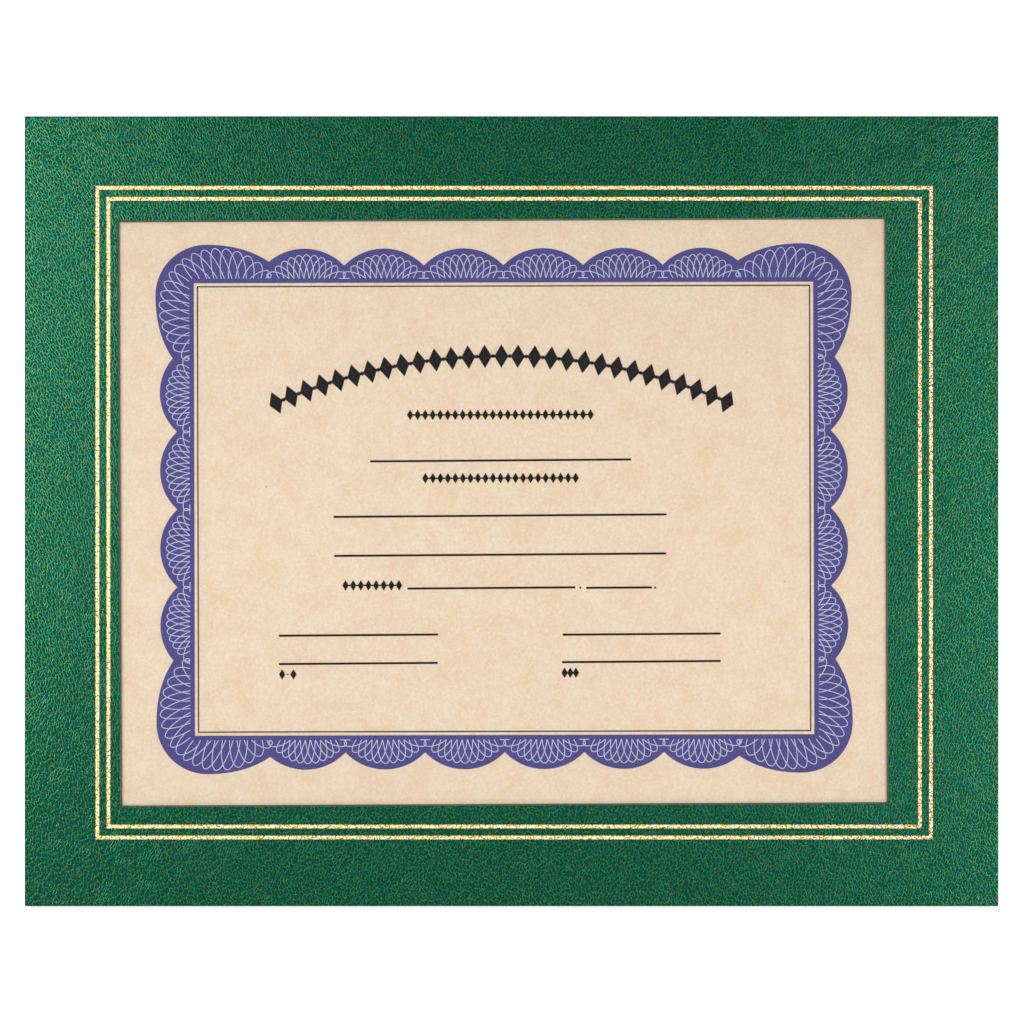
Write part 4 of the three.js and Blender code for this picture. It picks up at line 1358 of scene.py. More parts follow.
@dataclass(frozen=True)
class Border:
    """The scalloped safety border: a fan at each corner, scallops between them, and lace arches in each.

    Attributes:
        width: The width of its inner edge.
        height: The height of its inner edge.
        across: Small scallops along the top and bottom.
        upright: Small scallops along each side.
        end_share: The length of a side's first and last scallop against the others.
        cusp: How far the points between small scallops stand outside the inner edge.
        crown: How far the scallops' crowns stand outside it.
        fan_reach: How far a corner fan runs along a side.
        fan_cusp: How far the point between a fan and a scallop stands out.
        fan_centre: How far inside the corner the fan is drawn from, each way.
        fan_radius: The fan's radius at the corner.
        lace_line: How far outside the inner edge the lace stands.
        arch_span: The length of the scallop that the arches' sizes are meant for.
        arch_count: Lace arches on each side of a scallop's middle.
        arch_turn: The angle from arch to arch.
        arch_spread: The radius of the curve that the arches' tops follow along the side.
        arch_rise: The height of the middle arch.
        arch_fall: How fast the arches get lower.
        arch_foot: The distance from foot to foot of neighbouring arches.
        arch_half: Half of an arch's width at its feet.
        arch_margin: How far a scallop's last foot stands inside its point.
        fan_arches: Lace arches on each side of a fan's middle.
        fan_arch_turn: The angle from arch to arch, in degrees.
        fan_arch_crowding: How much narrower that gets with the square of an arch's place, in degrees.
        fan_arch_half: Half of a fan arch's width at its feet.
        fan_arch_foot: The distance from foot to foot of neighbouring fan arches.
        fan_arch_top: The radius of the middle fan arch's top.
        fan_arch_growth: How much that radius grows with the square of the angle in degrees.
        fan_arch_sink: How far the middle fan arch's feet stand outside the corner, each way.
        bar: The length of the short bar under each point.
        eyelet: The radius of the small ring under the point beside each fan.
        steps: Stretches in one arch.
    """

    width: float = 214.2 * MM
    height: float = 156.5 * MM
    across: int = 6
    upright: int = 4
    end_share: float = 0.945
    cusp: float = 5.95 * MM
    crown: float = 11.85 * MM
    fan_reach: float = 26.0 * MM
    fan_cusp: float = 7.4 * MM
    fan_centre: float = 4.32 * MM
    fan_radius: float = 17.62 * MM
    lace_line: float = 1.58 * MM
    arch_span: float = 27.4 * MM
    arch_count: int = 5
    arch_turn: float = math.radians(10.6)
    arch_spread: float = 15.4 * MM
    arch_rise: float = 8.22 * MM
    arch_fall: float = 14.86 * MM
    arch_foot: float = 1.83 * MM
    arch_half: float = 2.7 * MM
    arch_margin: float = 0.4 * MM
    fan_arches: int = 9
    fan_arch_turn: float = 14.9
    fan_arch_crowding: float = 0.27
    fan_arch_half: float = 3.1 * MM
    fan_arch_foot: float = 2.51 * MM
    fan_arch_top: float = 14.79 * MM
    fan_arch_growth: float = 0.000607 * MM
    fan_arch_sink: float = 0.9 * MM
    bar: float = 3.5 * MM
    eyelet: float = 0.8 * MM
    steps: int = 14

    def sides(self) -> list[Side]:
        """The four sides, in turn round the print."""
        right, up = Vector((1.0, 0.0, 0.0)), Vector((0.0, 1.0, 0.0))
        corner = right * self.width / 2 + up * self.height / 2
        other = right * self.width / 2 - up * self.height / 2
        return [
            Side(-corner, right, -up, self.width, self.across),
            Side(other, up, right, self.height, self.upright),
            Side(corner, -right, up, self.width, self.across),
            Side(-other, -up, -right, self.height, self.upright),
        ]

    def points_between(self, side: Side) -> list[float]:
        """How far along a side each point between its scallops lies, with the fans' points at both ends."""
        shares = [self.end_share, *[1.0] * (side.count - 2), self.end_share]
        unit = (side.length - 2 * self.fan_reach) / sum(shares)
        return [self.fan_reach + unit * sum(shares[:step]) for step in range(side.count + 1)]

    def fan_point(self, side: Side, angle: float, radius: float) -> Vector:
        """A point of the fan at a side's start, by its angle in degrees from the corner's diagonal."""
        turn = math.radians(angle - 45)
        return side.at(self.fan_centre + radius * math.sin(turn), radius * math.cos(turn) - self.fan_centre)

    def fan_edge(self, side: Side) -> list[Vector]:
        """Draws one half of a corner fan's outline.

        Args:
            side: The side at whose start the fan stands.

        Returns:
            Its points, from the corner's diagonal to the fan's point on this side.
        """
        reach, rise = self.fan_reach - self.fan_centre, self.fan_cusp + self.fan_centre
        last = 45 + math.degrees(math.atan2(reach, rise))
        growth = (math.hypot(reach, rise) - self.fan_radius) / (last - 45) ** 2
        angles = [last * step / (2 * self.steps) for step in range(2 * self.steps + 1)]
        return [self.fan_point(side, angle, self.fan_radius + growth * max(0.0, angle - 45) ** 2)
                for angle in angles]

    def outline(self) -> list[Vector]:
        """Draws the whole scalloped outline.

        Returns:
            Its points, once round the print.
        """
        found: list[Vector] = []
        for side in self.sides():
            stops = self.points_between(side)
            heights = [self.fan_cusp, *[self.cusp] * (side.count - 1), self.fan_cusp]
            found += self.fan_edge(side)
            for step in range(side.count):
                start = side.at(stops[step], heights[step])
                end = side.at(stops[step + 1], heights[step + 1])
                rise = self.crown - (heights[step] + heights[step + 1]) / 2
                found += arc(end, start, rise, self.steps)[::-1][1:]
            found += self.fan_edge(side.mirrored())[-2:0:-1]
        return found

    def inner_edge(self) -> list[Vector]:
        """The four corners of the inner edge."""
        return [side.start for side in self.sides()]

    def arch(self, left: Vector, top: Vector, right: Vector) -> list[Vector]:
        """Draws a lace arch.

        Args:
            left: Its left foot.
            top: Its top.
            right: Its right foot.

        Returns:
            Its points, with both feet.
        """
        middle, half = (left + right) / 2, (right - left) / 2
        angles = [math.pi * (step / self.steps - 0.5) for step in range(self.steps + 1)]
        return [middle + half * math.sin(angle) + (top - middle) * math.cos(angle) for angle in angles]

    def scallop_lace(self, side: Side, start: float, end: float) -> list[list[Vector]]:
        """Draws the lace arches of one small scallop.

        Args:
            side: The side that it stands on.
            start: Where on that side it starts.
            end: Where it ends.

        Returns:
            The points of each arch.
        """
        middle, share = (start + end) / 2, (end - start) / self.arch_span
        arches = []
        for index in range(-self.arch_count, self.arch_count + 1):
            turn = index * self.arch_turn
            foot, half = self.arch_foot * index, self.arch_half
            top = side.at(middle + share * self.arch_spread * math.sin(turn),
                          self.lace_line + self.arch_rise - self.arch_fall * (1 - math.cos(turn)))
            feet = [foot - half, foot + half]
            if abs(index) == self.arch_count:
                feet[index > 0] = math.copysign((end - start) / 2 / share - self.arch_margin, index)
            arches.append(self.arch(side.at(middle + share * feet[0], self.lace_line), top,
                                    side.at(middle + share * feet[1], self.lace_line)))
        return arches

    def fan_lace(self, side: Side) -> list[list[Vector]]:
        """Draws the lace of a corner fan that stands on one side, and the eyelet beside it.

        Args:
            side: The side at whose start the fan stands.

        Returns:
            The points of each arch, then those of the eyelet.
        """
        arches = []
        for index in range(1, self.fan_arches + 1):
            angle = self.fan_arch_turn * index - self.fan_arch_crowding * index ** 2
            top = self.fan_point(side, angle, self.fan_arch_top + self.fan_arch_growth * angle ** 2)
            foot = self.fan_arch_foot * index
            last = min(foot + self.fan_arch_half, self.fan_reach - 1.5 * self.eyelet)
            arches.append(self.arch(side.at(foot - self.fan_arch_half, self.lace_line), top,
                                    side.at(last, self.lace_line)))
        centre = side.at(self.fan_reach, self.lace_line + 1.2 * self.eyelet)
        turns = [2 * math.pi * step / self.steps for step in range(self.steps + 1)]
        arches.append([centre + (side.along * math.cos(turn) + side.out * math.sin(turn)) * self.eyelet
                       for turn in turns])
        return arches

    def corner_lace(self, side: Side) -> list[Vector]:
        """The middle arch of the fan at a side's start."""
        across = (side.along + side.out).normalized() * self.fan_arch_half
        base = side.at(-self.fan_arch_sink, self.fan_arch_sink)
        return self.arch(base - across, self.fan_point(side, 0.0, self.fan_arch_top), base + across)

    def lace(self) -> list[list[Vector]]:
        """Draws every lace line of the border.

        Returns:
            The points of each line.
        """
        lines = []
        for side in self.sides():
            stops = self.points_between(side)
            lines += [self.corner_lace(side), *self.fan_lace(side), *self.fan_lace(side.mirrored())]
            for start, end in zip(stops, stops[1:]):
                lines += self.scallop_lace(side, start, end)
            lines += [[side.at(stop + half, self.lace_line) for half in (-self.bar / 2, self.bar / 2)]
                      for stop in stops[1:-1]]
        return lines


@dataclass(frozen=True)
class MotifRow:
    """A printed ornament: a row of lozenges and dots in turn.

    Attributes:
        left: Where it starts, from the print's middle.
        right: Where it ends.
        height: How high its ends lie.
        rise: How far its middle arches up.
        tall: The lozenges' height.
        pitch: The distance from lozenge to dot.
    """

    left: float
    right: float
    height: float
    rise: float = 0.0
    tall: float = 3.7 * MM
    pitch: float = 1.3 * MM

    def line(self) -> list[Vector]:
        """Spaces its lozenges and dots.

        Returns:
            Their points, with a lozenge at both ends.
        """
        start, end = Vector((self.left, self.height, 0.0)), Vector((self.right, self.height, 0.0))
        chord = (end - start).length
        # A flat arc is longer than its chord by about 8/3 of its rise squared over the chord.
        length = chord + 8 / 3 * self.rise ** 2 / chord
        steps = 2 * max(1, round(length / (2 * self.pitch)))
        if self.rise:
            return arc(end, start, -self.rise, steps)
        return [start.lerp(end, step / steps) for step in range(steps + 1)]


@dataclass
class Certificate:
    """The printed sheet: scalloped border, thin frame line, ruled lines and ornament rows.

    Attributes:
        finishes: The holder's materials.
        border: The border's drawing.
        shift: How far the print's middle lies from the sheet's middle.
        turn: How far the print is turned on the face.
        ink: How thick a layer of ink is.
        gap: How far a layer of ink lies off what is below it.
        frame_inset: How far the thin frame line lies inside the border.
        frame_line: The thin frame line's width.
        rule: The ruled lines' width.
        rule_turn: How far each ruled line is turned about its own middle.
        lace: The lace lines' width.
        lozenge_share: A lozenge's width against its height.
        dot_share: A dot's width against a lozenge's height.
        rules: Left end, right end and height of each ruled line, from the print's middle.
        arched_row: The large row, which arches up.
        small_rows: The small rows.
    """

    finishes: Finishes
    border: Border = Border()
    shift: tuple[float, float] = (0.31 * MM, -0.14 * MM)
    turn: float = math.radians(0.15)
    ink: float = 0.012 * MM
    gap: float = 0.008 * MM
    frame_inset: float = 1.03 * MM
    frame_line: float = 0.42 * MM
    rule: float = 0.74 * MM
    rule_turn: float = math.radians(0.28)
    lace: float = 0.28 * MM
    lozenge_share: float = 0.6
    dot_share: float = 0.17
    rules: tuple[tuple[float, float, float], ...] = (
        (-46.3 * MM, 44.0 * MM, 16.7 * MM), (-59.0 * MM, 56.2 * MM, -2.4 * MM),
        (-58.8 * MM, 56.0 * MM, -15.9 * MM),
        (-33.5 * MM, 24.6 * MM, -27.4 * MM), (26.0 * MM, 26.6 * MM, -27.4 * MM),
        (28.3 * MM, 51.1 * MM, -27.4 * MM), (51.9 * MM, 52.5 * MM, -27.4 * MM),
        (-78.0 * MM, -22.9 * MM, -43.6 * MM), (-78.0 * MM, -23.1 * MM, -53.4 * MM),
        (20.1 * MM, 74.8 * MM, -43.5 * MM), (19.9 * MM, 74.8 * MM, -53.0 * MM),
    )
    arched_row: MotifRow = MotifRow(-78.8 * MM, 77.2 * MM, 36.8 * MM, 16.0 * MM, 8.2 * MM, 2.9 * MM)
    small_rows: tuple[MotifRow, ...] = (
        MotifRow(-32.4 * MM, 30.0 * MM, 32.5 * MM), MotifRow(-27.2 * MM, 24.8 * MM, 10.6 * MM),
        MotifRow(-54.9 * MM, -36.4 * MM, -26.4 * MM), MotifRow(-76.9 * MM, -73.0 * MM, -57.1 * MM),
        MotifRow(20.8 * MM, 24.7 * MM, -56.8 * MM),
    )

    def face(self) -> Matrix:
        """Lays the print's own drawing plane on the sheet's face."""
        low, high = PLANE.box("certificate")
        middle = (low + high) / 2
        place = Vector((middle.x + self.shift[0], middle.y + self.shift[1], high.z))
        return PLANE.matrix @ Matrix.Translation(place) @ Matrix.Rotation(self.turn, 4, "Z")

    def layer(self, level: int) -> tuple[float, float]:
        """Underside and top of a layer of ink, counted from the paper."""
        low = self.gap + level * (self.gap + self.ink)
        return low, low + self.ink

    def printed(self, name: str, rings: Sequence[Sequence[Vector]], material: Material) -> None:
        """Prints a flat shape.

        Args:
            name: The new piece's name.
            rings: Its outline, then its holes.
            material: Its ink.
        """
        form = bmesh.new()
        plate(form, rings, *self.layer(0))
        fit(collect(name, mesh_of(name, form, self.face()), material), Body.SHEET)

    def frame_rings(self) -> list[list[Vector]]:
        """Outer and inner edge of the thin frame line."""
        return [[side.at(inset, -inset) for side in self.border.sides()]
                for inset in (self.frame_inset, self.frame_inset + self.frame_line)]

    def lines(self, name: str, lines: Sequence[Sequence[Vector]], width: float, level: int,
              material: Material) -> None:
        """Prints drawn lines of one width on a layer of ink.

        Args:
            name: The new piece's name.
            lines: The points of each line.
            width: Their width.
            level: The layer of ink that they lie on, counted from the paper.
            material: Their ink.
        """
        values = {"Width": width, "Thickness": self.ink, "Lift": sum(self.layer(level)) / 2}
        fit(line_tree().grow(name, host_of(lines), material, values, self.face()), Body.SHEET)

    def motifs(self, name: str, rows: Sequence[MotifRow]) -> None:
        """Prints rows of lozenges and dots that share one size.

        Args:
            name: The new piece's name.
            rows: The rows, of which the first gives the size.
        """
        tall = rows[0].tall
        values = {"Tall": tall, "Wide": tall * self.lozenge_share, "Dot": tall * self.dot_share,
                  "Thickness": self.ink, "Lift": sum(self.layer(0)) / 2}
        host = host_of([row.line() for row in rows])
        fit(motif_tree().grow(name, host, self.finishes.black_ink, values, self.face()), Body.SHEET)

    def ruled(self, left: float, right: float, height: float) -> list[Vector]:
        """Both ends of a ruled line."""
        rise = math.tan(self.rule_turn) * (right - left) / 2
        return [Vector((left, height - rise, 0.0)), Vector((right, height + rise, 0.0))]

    def build(self) -> None:
        """Dresses the sheet and prints it."""
        frame["nodes"]["certificate"].data.materials[0] = self.finishes.parchment
        violet = [self.border.outline(), self.border.inner_edge()]
        self.printed("scalloped_border", violet, self.finishes.violet_ink)
        self.lines("border_lace", self.border.lace(), self.lace, 1, self.finishes.lace_ink)
        self.printed("thin_frame_line", self.frame_rings(), self.finishes.black_ink)
        rules = [self.ruled(*place) for place in self.rules]
        self.lines("ruled_lines", rules, self.rule, 0, self.finishes.black_ink)
        self.motifs("arched_ornament_row", [self.arched_row])
        self.motifs("small_ornament_rows", self.small_rows)


@dataclass
class Softened:
    """A CAD solid rebuilt with the rounded edges that folding and stamping leave.

    Attributes:
        node: The CAD node.
        name: The new piece's name.
        radius: The rounding of its edges.
        body: The body that it moves with.
        slot: A material slot of the imported record. It is not used.
        material: Its material.
        weld: How near two vertices lie that are one.
        coplanar: The angle under which two faces are one.
        sharp: The angle over which an edge is rounded.
        steps: Facets round an edge.
        flatness: How much a face's size counts for the normals at its corners, from 1 to 100.
    """

    node: str
    name: str
    radius: float
    body: Body
    slot: Slot
    material: Material
    weld: float = 0.002 * MM
    coplanar: float = math.radians(0.5)
    sharp: float = math.radians(40)
    steps: int = 2
    flatness: int = 100

    def build(self) -> None:
        """Builds the piece and puts it in the CAD node's place."""
        form = bmesh.new()
        form.from_mesh(frame["nodes"][self.node].data)
        bmesh.ops.remove_doubles(form, verts=form.verts, dist=self.weld)
        bmesh.ops.dissolve_limit(form, angle_limit=self.coplanar, verts=form.verts, edges=form.edges)
        blank = mesh_of(self.name, form)
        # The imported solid's own normals would shade the rebuilt faces askew.
        packed_normals = blank.attributes.get("custom_normal")
        if packed_normals is not None:
            blank.attributes.remove(packed_normals)
        blank.shade_smooth()
        carrier = collect(f"{self.name}_blank", blank)
        bevel = carrier.modifiers.new("soft_edges", "BEVEL")
        bevel.width = self.radius
        bevel.segments = self.steps
        bevel.limit_method = "ANGLE"
        bevel.angle_limit = self.sharp
        bevel.use_clamp_overlap = True
        carrier.modifiers.new("flat_faces", "WEIGHTED_NORMAL").weight = self.flatness
        fit(collect(self.name, finished(carrier), self.material), self.body, [self.node])


@dataclass
class Rivets:
    """Domed rivets, turned once and set wherever the CAD rivets sit.

    Attributes:
        head_height: The height of the domed head.
        head_radius: Its radius.
        rim: The rounding of its rim.
        shank_radius: The shank's radius.
        segments: Facets round it.
        dome_steps: Facets from its rim to its middle.
    """

    head_height: float = 0.9 * MM
    head_radius: float = 3.1 * MM
    rim: float = 0.16 * MM
    shank_radius: float = 1.5 * MM
    segments: int = 40
    dome_steps: int = 9

    def profile(self, length: float) -> list[tuple[float, float]]:
        """Draws a rivet's section.

        Args:
            length: The length of its shank.

        Returns:
            Radius and height, from the shank's end over the rim to the middle of the dome.
        """
        turns = [math.pi / 2 * step / self.dome_steps for step in range(1, self.dome_steps + 1)]
        rise = self.head_height - self.rim
        crown = [(self.head_radius * math.cos(turn), self.rim + rise * math.sin(turn)) for turn in turns]
        bulge = self.rim * 0.3
        return [(0.0, -length), (self.shank_radius, -length), (self.shank_radius, 0.0),
                (self.head_radius - self.rim, 0.0), (self.head_radius - bulge, bulge),
                (self.head_radius, self.rim), *crown]

    def form(self, length: float) -> Piece:
        """Turns one rivet, head up.

        Args:
            length: The length of its shank.

        Returns:
            The rivet, whose head stands on the origin.
        """
        form = bmesh.new()
        rings = []
        for radius, height in self.profile(length):
            turns = [2 * math.pi * step / self.segments for step in range(self.segments)]
            count = self.segments if radius > self.rim else 1
            rings.append([form.verts.new((radius * math.cos(turn), radius * math.sin(turn), height))
                          for turn in turns[:count]])
        skin(form, rings)
        mesh = mesh_of("rivet_form", form)
        smooth_by_angle(mesh)
        return collect("rivet_form", mesh)

    def build(self, name: str, plane: Plane, body: Body, nodes: Sequence[str],
              material: Material) -> None:
        """Sets rivets where CAD rivets sit and puts them in their place.

        Args:
            name: The new piece's name.
            plane: The plane that they stand on.
            body: The body that they move with.
            nodes: The CAD rivets.
            material: Their material.
        """
        boxes = [plane.box(node) for node in nodes]
        seats = [Vector(((low.x + high.x) / 2, (low.y + high.y) / 2, low.z + self.head_height))
                 for low, high in boxes]
        form = self.form(boxes[0][1].z - seats[0].z)
        values = {"Form": form, "Turn": (math.pi, 0.0, 0.0)}
        host = host_of([[seat] for seat in seats])
        piece = fastener_tree().grow(name, host, material, values, plane.matrix)
        bpy.data.objects.remove(form)
        smooth_by_angle(piece.data)
        fit(piece, body, nodes)


@dataclass
class HangerRing:
    """The three-cornered wire ring that hangs plumb from its strap.

    Attributes:
        material: The wire's material.
        wire: The wire's radius.
        half_width: Half of the length of its straight side, corner to corner.
        drop: How far its tip lies below its straight side, before the corners are rounded.
        corner: The bend at the straight side's ends.
        tip_corner: The bend at the tip.
        steps: Stretches in each bend.
    """

    material: Material
    wire: float = 0.85 * MM
    half_width: float = 8.5 * MM
    drop: float = 14.5 * MM
    corner: float = 2.6 * MM
    tip_corner: float = 5.0 * MM
    steps: int = 12

    def bend(self, before: Vector, corner: Vector, after: Vector, radius: float) -> list[Vector]:
        """Rounds one bend of the wire.

        Args:
            before: The corner before it.
            corner: The corner that is rounded.
            after: The corner after it.
            radius: The bend's radius.

        Returns:
            The points round the bend.
        """
        toward, away = (before - corner).normalized(), (after - corner).normalized()
        half_angle = toward.angle(away) / 2
        centre = corner + (toward + away).normalized() * (radius / math.sin(half_angle))
        start = corner + toward * (radius / math.tan(half_angle)) - centre
        sweep = math.pi - 2 * half_angle
        side = 1 if toward.cross(away).z > 0 else -1
        return [centre + Matrix.Rotation(-side * sweep * step / self.steps, 3, "Z") @ start
                for step in range(self.steps + 1)]

    def build(self) -> None:
        """Bends the wire and hangs it from the strap."""
        left, right = Vector((-self.half_width, 0.0, 0.0)), Vector((self.half_width, 0.0, 0.0))
        tip = Vector((0.0, -self.drop, 0.0))
        bends = [*self.bend(right, left, tip, self.corner), *self.bend(left, tip, right, self.tip_corner),
                 *self.bend(tip, right, left, self.corner)]
        straight = [left.lerp(right, share) for share in (0.75, 0.5, 0.25)]
        hang = Matrix.Translation(joint("ring_swing")["pos_m"]) @ Matrix.Rotation(math.pi / 2, 4, "X")
        host = host_of([[*bends, *straight]], closed=True)
        piece = wire_tree().grow("wire_hanger_ring", host, self.material, {"Radius": self.wire}, hang)
        fit(piece, Body.RING, ["hanger_ring"])


@dataclass
class RibbonStay:
    """The woven ribbon that stops the leg: glued to the back and to the leg, and taut between them.

    Attributes:
        material: The ribbon's material.
        width: The ribbon's width.
        thickness: Its thickness at the middle.
        from_axis: How far below the hinge it is glued.
        tab: How long its glued ends are.
        lining_gap: How far the folded leg's lining stands off the back.
        seat: How far a glued end lies off what it is glued to.
        bend: The radius of its bends.
        selvedge: How much thicker its woven edge is.
        keep: How flat it folds with the leg. It is not used.
        steps: Stretches in each bend.
        threads: Where the section has its corners, as shares of half of the width.
        woven_edge: The share beyond which it is woven thicker.
    """

    material: Material
    width: float = 10 * MM
    thickness: float = 0.2 * MM
    from_axis: float = 106 * MM
    tab: float = 12 * MM
    lining_gap: float = 0.8 * MM
    seat: float = 0.08 * MM
    bend: float = 1.4 * MM
    selvedge: float = 0.06 * MM
    keep: float = 0.01
    steps: int = 8
    threads: tuple[float, ...] = (-1.0, -0.97, -0.9, -0.6, 0.0, 0.6, 0.9, 0.97, 1.0)
    woven_edge: float = 0.9

    def path(self) -> list[Vector]:
        """Draws the ribbon's middle line.

        Returns:
            Its points in the frame's flat coordinates, from the back to the leg.
        """
        axis = PLANE.flat(joint("easel_fold")["pos_m"])
        back = PLANE.box("back_cover")[0].z
        level = self.seat + self.thickness / 2
        to_flat = PLANE.matrix.inverted() @ LEG_PLANE.matrix

        def on_leg(reach: float) -> Vector:
            """A point on the leg's lining, this far below the hinge."""
            return to_flat @ Vector((0.0, axis.y - reach, back - self.lining_gap + level))

        corners = [Vector((0.0, axis.y - self.from_axis + self.tab, back - level)),
                   Vector((0.0, axis.y - self.from_axis, back - level)),
                   on_leg(self.from_axis), on_leg(self.from_axis - self.tab)]
        line = [corners[0]]
        for before, corner, after in zip(corners, corners[1:], corners[2:]):
            enter = corner + (before - corner).normalized() * self.bend
            leave = corner + (after - corner).normalized() * self.bend
            turns = [step / self.steps for step in range(self.steps + 1)]
            line += [enter.lerp(corner, turn).lerp(corner.lerp(leave, turn), turn) for turn in turns]
        line.append(corners[-1])
        return line

    def section(self) -> list[tuple[float, float]]:
        """Draws the ribbon's section, with its thicker woven edges.

        Returns:
            Across and up of each corner.
        """
        half = [self.thickness / 2 + (self.selvedge / 2 if self.woven_edge < abs(share) < 1 else 0.0)
                for share in self.threads]
        half[0] = half[-1] = self.thickness / 4
        top = [(share * self.width / 2, rise) for share, rise in zip(self.threads, half)]
        return [*top, *[(across, -rise) for across, rise in reversed(top)]]

    def build(self) -> None:
        """Weaves the ribbon along its path."""
        line = self.path()
        form = bmesh.new()
        grain = form.loops.layers.uv.new("weave")
        section = self.section()
        lengths, rings = [0.0], []
        for step, point in enumerate(line):
            ahead, behind = line[min(step + 1, len(line) - 1)], line[max(step - 1, 0)]
            up = Vector((1.0, 0.0, 0.0)).cross((ahead - behind).normalized())
            rings.append([form.verts.new(point + Vector((across, 0.0, 0.0)) + up * rise)
                          for across, rise in section])
            lengths.append(lengths[-1] + (ahead - point).length)
        for count, face in enumerate(skin(form, rings)):
            step, index = divmod(count, len(section))
            near, far = section[index][0], section[(index + 1) % len(section)][0]
            along = (lengths[step], lengths[step], lengths[step + 1], lengths[step + 1])
            for loop, x, y in zip(face.loops, (near, far, far, near), along):
                loop[grain].uv = (x / MM, y / MM)
        form.faces.new(rings[0])
        form.faces.new(rings[-1])
        mesh = mesh_of("woven_ribbon_stay", form, PLANE.matrix)
        smooth_by_angle(mesh)
        piece = collect("woven_ribbon_stay", mesh, self.material)
        fit(piece, Body.FRAME, ["ribbon_stay"])
        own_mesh(piece)


@dataclass
class BackAndEasel:
    """The back panel, the easel leg and their hardware.

    Attributes:
        finishes: The holder's materials.
        paper_fold: The rounding of folded cover paper.
        stamped_edge: The rounding of stamped and rolled metal.
    """

    finishes: Finishes
    paper_fold: float = 0.14 * MM
    stamped_edge: float = 0.12 * MM

    def build(self) -> None:
        """Builds each piece in order."""
        given = self.finishes
        fold, stamped = self.paper_fold, self.stamped_edge
        for rounded in (
            Softened("back_cover", "folded_back_cover", fold, Body.FRAME, Slot.BACK_PAPER, given.back_paper),
            Softened("leg_cover", "folded_leg_cover", fold, Body.LEG, Slot.BACK_PAPER, given.leg_paper),
            Softened("hinge_back_leaf", "rolled_back_leaf", stamped, Body.FRAME, Slot.STEEL, given.nickel),
            Softened("hinge_leg_leaf", "rolled_leg_leaf", stamped, Body.LEG, Slot.STEEL, given.nickel),
            Softened("hinge_pin", "headed_hinge_pin", stamped, Body.FRAME, Slot.STEEL, given.nickel),
            Softened("hanger_strap", "folded_hanger_strap", stamped, Body.FRAME, Slot.STEEL, given.nickel),
        ):
            rounded.build()
        rivets = Rivets()
        rivets.build("back_rivets", PLANE, Body.FRAME,
                     ["back_leaf_rivet_left", "back_leaf_rivet_right", "hanger_rivet"], given.brass)
        rivets.build("leg_rivets", LEG_PLANE, Body.LEG,
                     ["leg_leaf_rivet_left", "leg_leaf_rivet_right"], given.brass)
        RibbonStay(given.ribbon).build()
        HangerRing(given.nickel).build()


@dataclass
class CarriedNodes:
    """CAD nodes whose solids are right as they are, and that only take a finish."""

    finishes: Finishes

    def build(self) -> None:
        """Gives each node its material."""
        given = self.finishes
        dressed = {
            "front_board": given.board, "back_board": given.board, "leg_board": given.board,
            "window_sheet": given.film, "pocket_liner": given.lining, "leg_liner": given.lining,
            "spacer_left": given.card, "spacer_right": given.card, "spacer_bottom": given.card,
            "window_tape_top": given.tape, "window_tape_bottom": given.tape,
            "window_tape_left": given.tape, "window_tape_right": given.tape,
            "outer_foil_line": given.foil, "inner_foil_line": given.foil,
        }
        for node, material in dressed.items():
            frame["nodes"][node].data.materials[0] = material
            LOG.info("%s keeps its solid and takes %s", node, material.name)


@dataclass(frozen=True)
class SoftBox:
    """A soft studio lamp: its place in flat coordinates, its size, its power and its aim."""

    name: str
    place: tuple[float, float, float]
    size: tuple[float, float]
    watts: float

    def build(self) -> None:
        """Hangs the lamp, aimed at the middle of the front or the back face."""
        light = bpy.data.lights.new(self.name, "AREA")
        light.shape = "RECTANGLE"
        light.size, light.size_y = self.size
        light.energy = self.watts
        lamp = collect(self.name, light)
        place = PLANE.matrix @ Vector(self.place)
        away = place - PLANE.matrix.translation
        lamp.matrix_world = Matrix.Translation(place) @ away.to_track_quat("Z", "Y").to_matrix().to_4x4()
        lamp.visible_camera = False


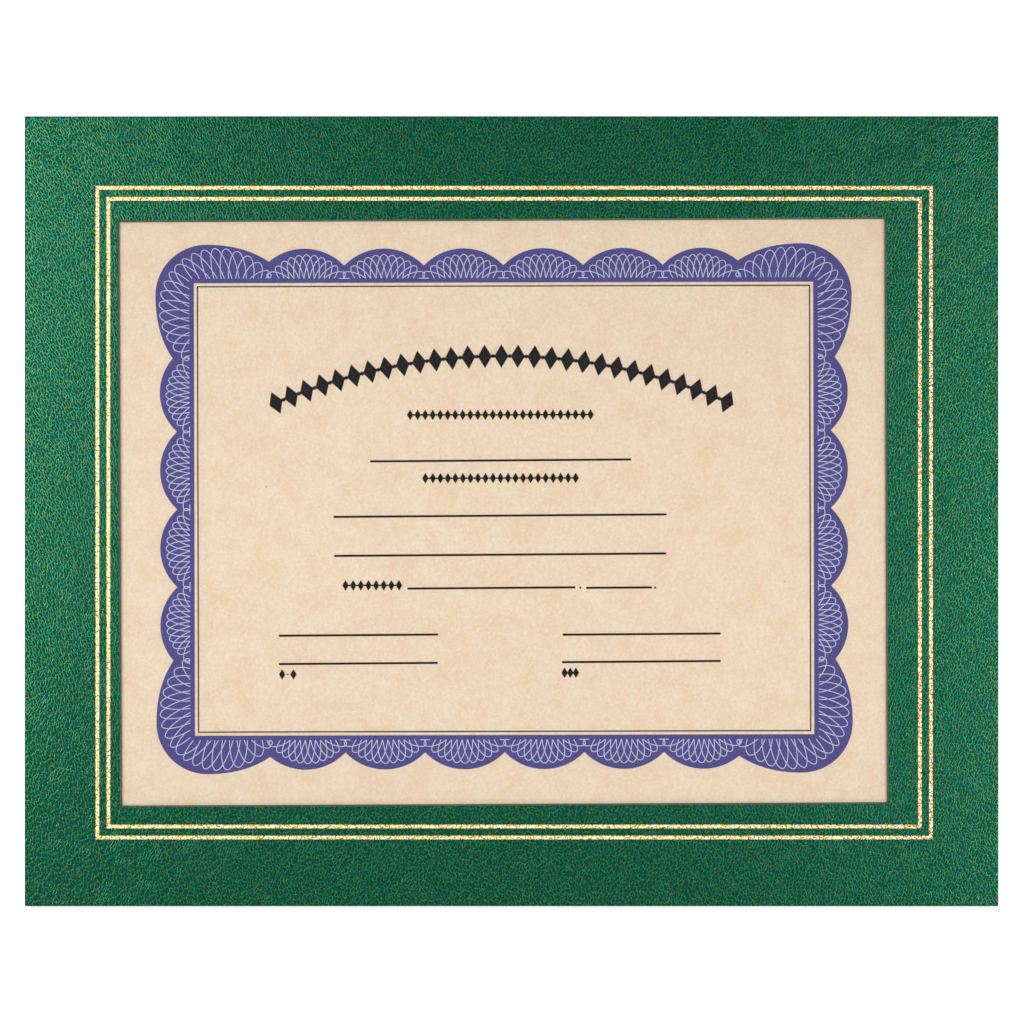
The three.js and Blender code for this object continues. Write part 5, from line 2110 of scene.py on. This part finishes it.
@dataclass
class Studio:
    """Pale floor, soft lamps, and a camera that looks straight at the front face.

    Attributes:
        distance: How far the camera stands off the front face.
        view_width: How much of the face's plane the picture spans.
        aim: Where the picture's middle lies on the front face.
        sensor: The camera's sensor width, in millimetres.
        floor_half: Half of the floor's width.
        floor_tones: How pale the floor is where it is darkest and where it is palest.
        floor_mottle: The width of the mottling on it, in millimetres.
        floor_lift: What the floor adds towards the camera, so that it shows white.
        ambient: The strength of the light from all round.
        lamps: The soft boxes.
    """

    distance: float = 2.5
    view_width: float = 353.8 * MM
    aim: tuple[float, float] = (0.155 * MM, -0.28 * MM)
    sensor: float = 36.0
    floor_half: float = 8.0
    floor_tones: tuple[float, float] = (0.89, 0.91)
    floor_mottle: float = 40.0
    floor_lift: float = 0.84
    ambient: float = 0.2
    lamps: tuple[SoftBox, ...] = (
        SoftBox("left_soft_box", (-0.28, 0.04, 0.42), (0.08, 0.36), 1.14),
        SoftBox("right_soft_box", (0.28, -0.03, 0.42), (0.08, 0.36), 0.98),
        SoftBox("back_soft_box", (0.25, 0.65, -0.80), (1.2, 1.2), 5.5),
    )

    @staticmethod
    def seen(graph: Graph) -> Socket:
        """Is 1 for rays that come straight, mirrored or refracted from the camera."""
        path = graph.node("ShaderNodeLightPath").outputs
        first = graph.math("MAXIMUM", path["Is Camera Ray"], path["Is Glossy Ray"])
        return graph.math("MAXIMUM", first, path["Is Transmission Ray"])

    def build_world(self) -> None:
        """Makes a world that looks white and lights softly."""
        world = bpy.data.worlds.new("soft_surround")
        world.use_nodes = True
        graph = Graph(world.node_tree)
        strength = graph.remap(self.seen(graph), 0.0, 1.0, self.ambient, 1.0)
        glow = graph.out("ShaderNodeBackground", {"Color": WHITE, "Strength": strength})
        graph.node("ShaderNodeOutputWorld", {"Surface": glow})
        bpy.context.scene.world = world

    def build_floor(self) -> None:
        """Lays a pale floor that shows white and keeps the holder's shadow."""
        shader = Shader("pale_floor")
        mottle = shader.noise(shader.place(None), self.floor_mottle, 3.0)
        colour = shader.mix(mottle, *((tone, tone, tone, 1.0) for tone in self.floor_tones))
        matt = shader.out("ShaderNodeBsdfDiffuse", {"Color": colour})
        strength = shader.times(self.seen(shader), self.floor_lift)
        glow = shader.out("ShaderNodeEmission", {"Color": WHITE, "Strength": strength})
        form = bmesh.new()
        bmesh.ops.create_grid(form, x_segments=1, y_segments=1, size=self.floor_half)
        mesh = mesh_of("floor", form)
        floor = collect("floor", mesh, shader.finish(shader.out("ShaderNodeAddShader", {0: matt, 1: glow})))

    def build_camera(self) -> None:
        """Sets the camera square to the front face."""
        camera = bpy.data.cameras.new("camera")
        camera.sensor_width = self.sensor
        camera.lens = self.sensor * self.distance / self.view_width
        camera.clip_end = 4 * self.floor_half
        tripod = collect("camera", camera)
        tripod.matrix_world = PLANE.matrix @ Matrix.Translation((*self.aim, self.distance))
        bpy.context.scene.camera = tripod

    def build(self) -> None:
        """Sets up the floor, the light and the camera."""
        self.build_world()
        self.build_floor()
        for lamp in self.lamps:
            lamp.build()
        self.build_camera()
        bpy.context.scene.view_settings.view_transform = "Standard"


def main() -> None:
    """Builds the holder's looks in order and reports each piece."""
    logging.basicConfig(level=logging.INFO, format="%(name)s: %(message)s")
    finishes = Finishes()
    CarriedNodes(finishes).build()
    FrontCover(finishes).build()
    Certificate(finishes).build()
    BackAndEasel(finishes).build()
    Studio().build()


if __name__ == "__main__":
    main()
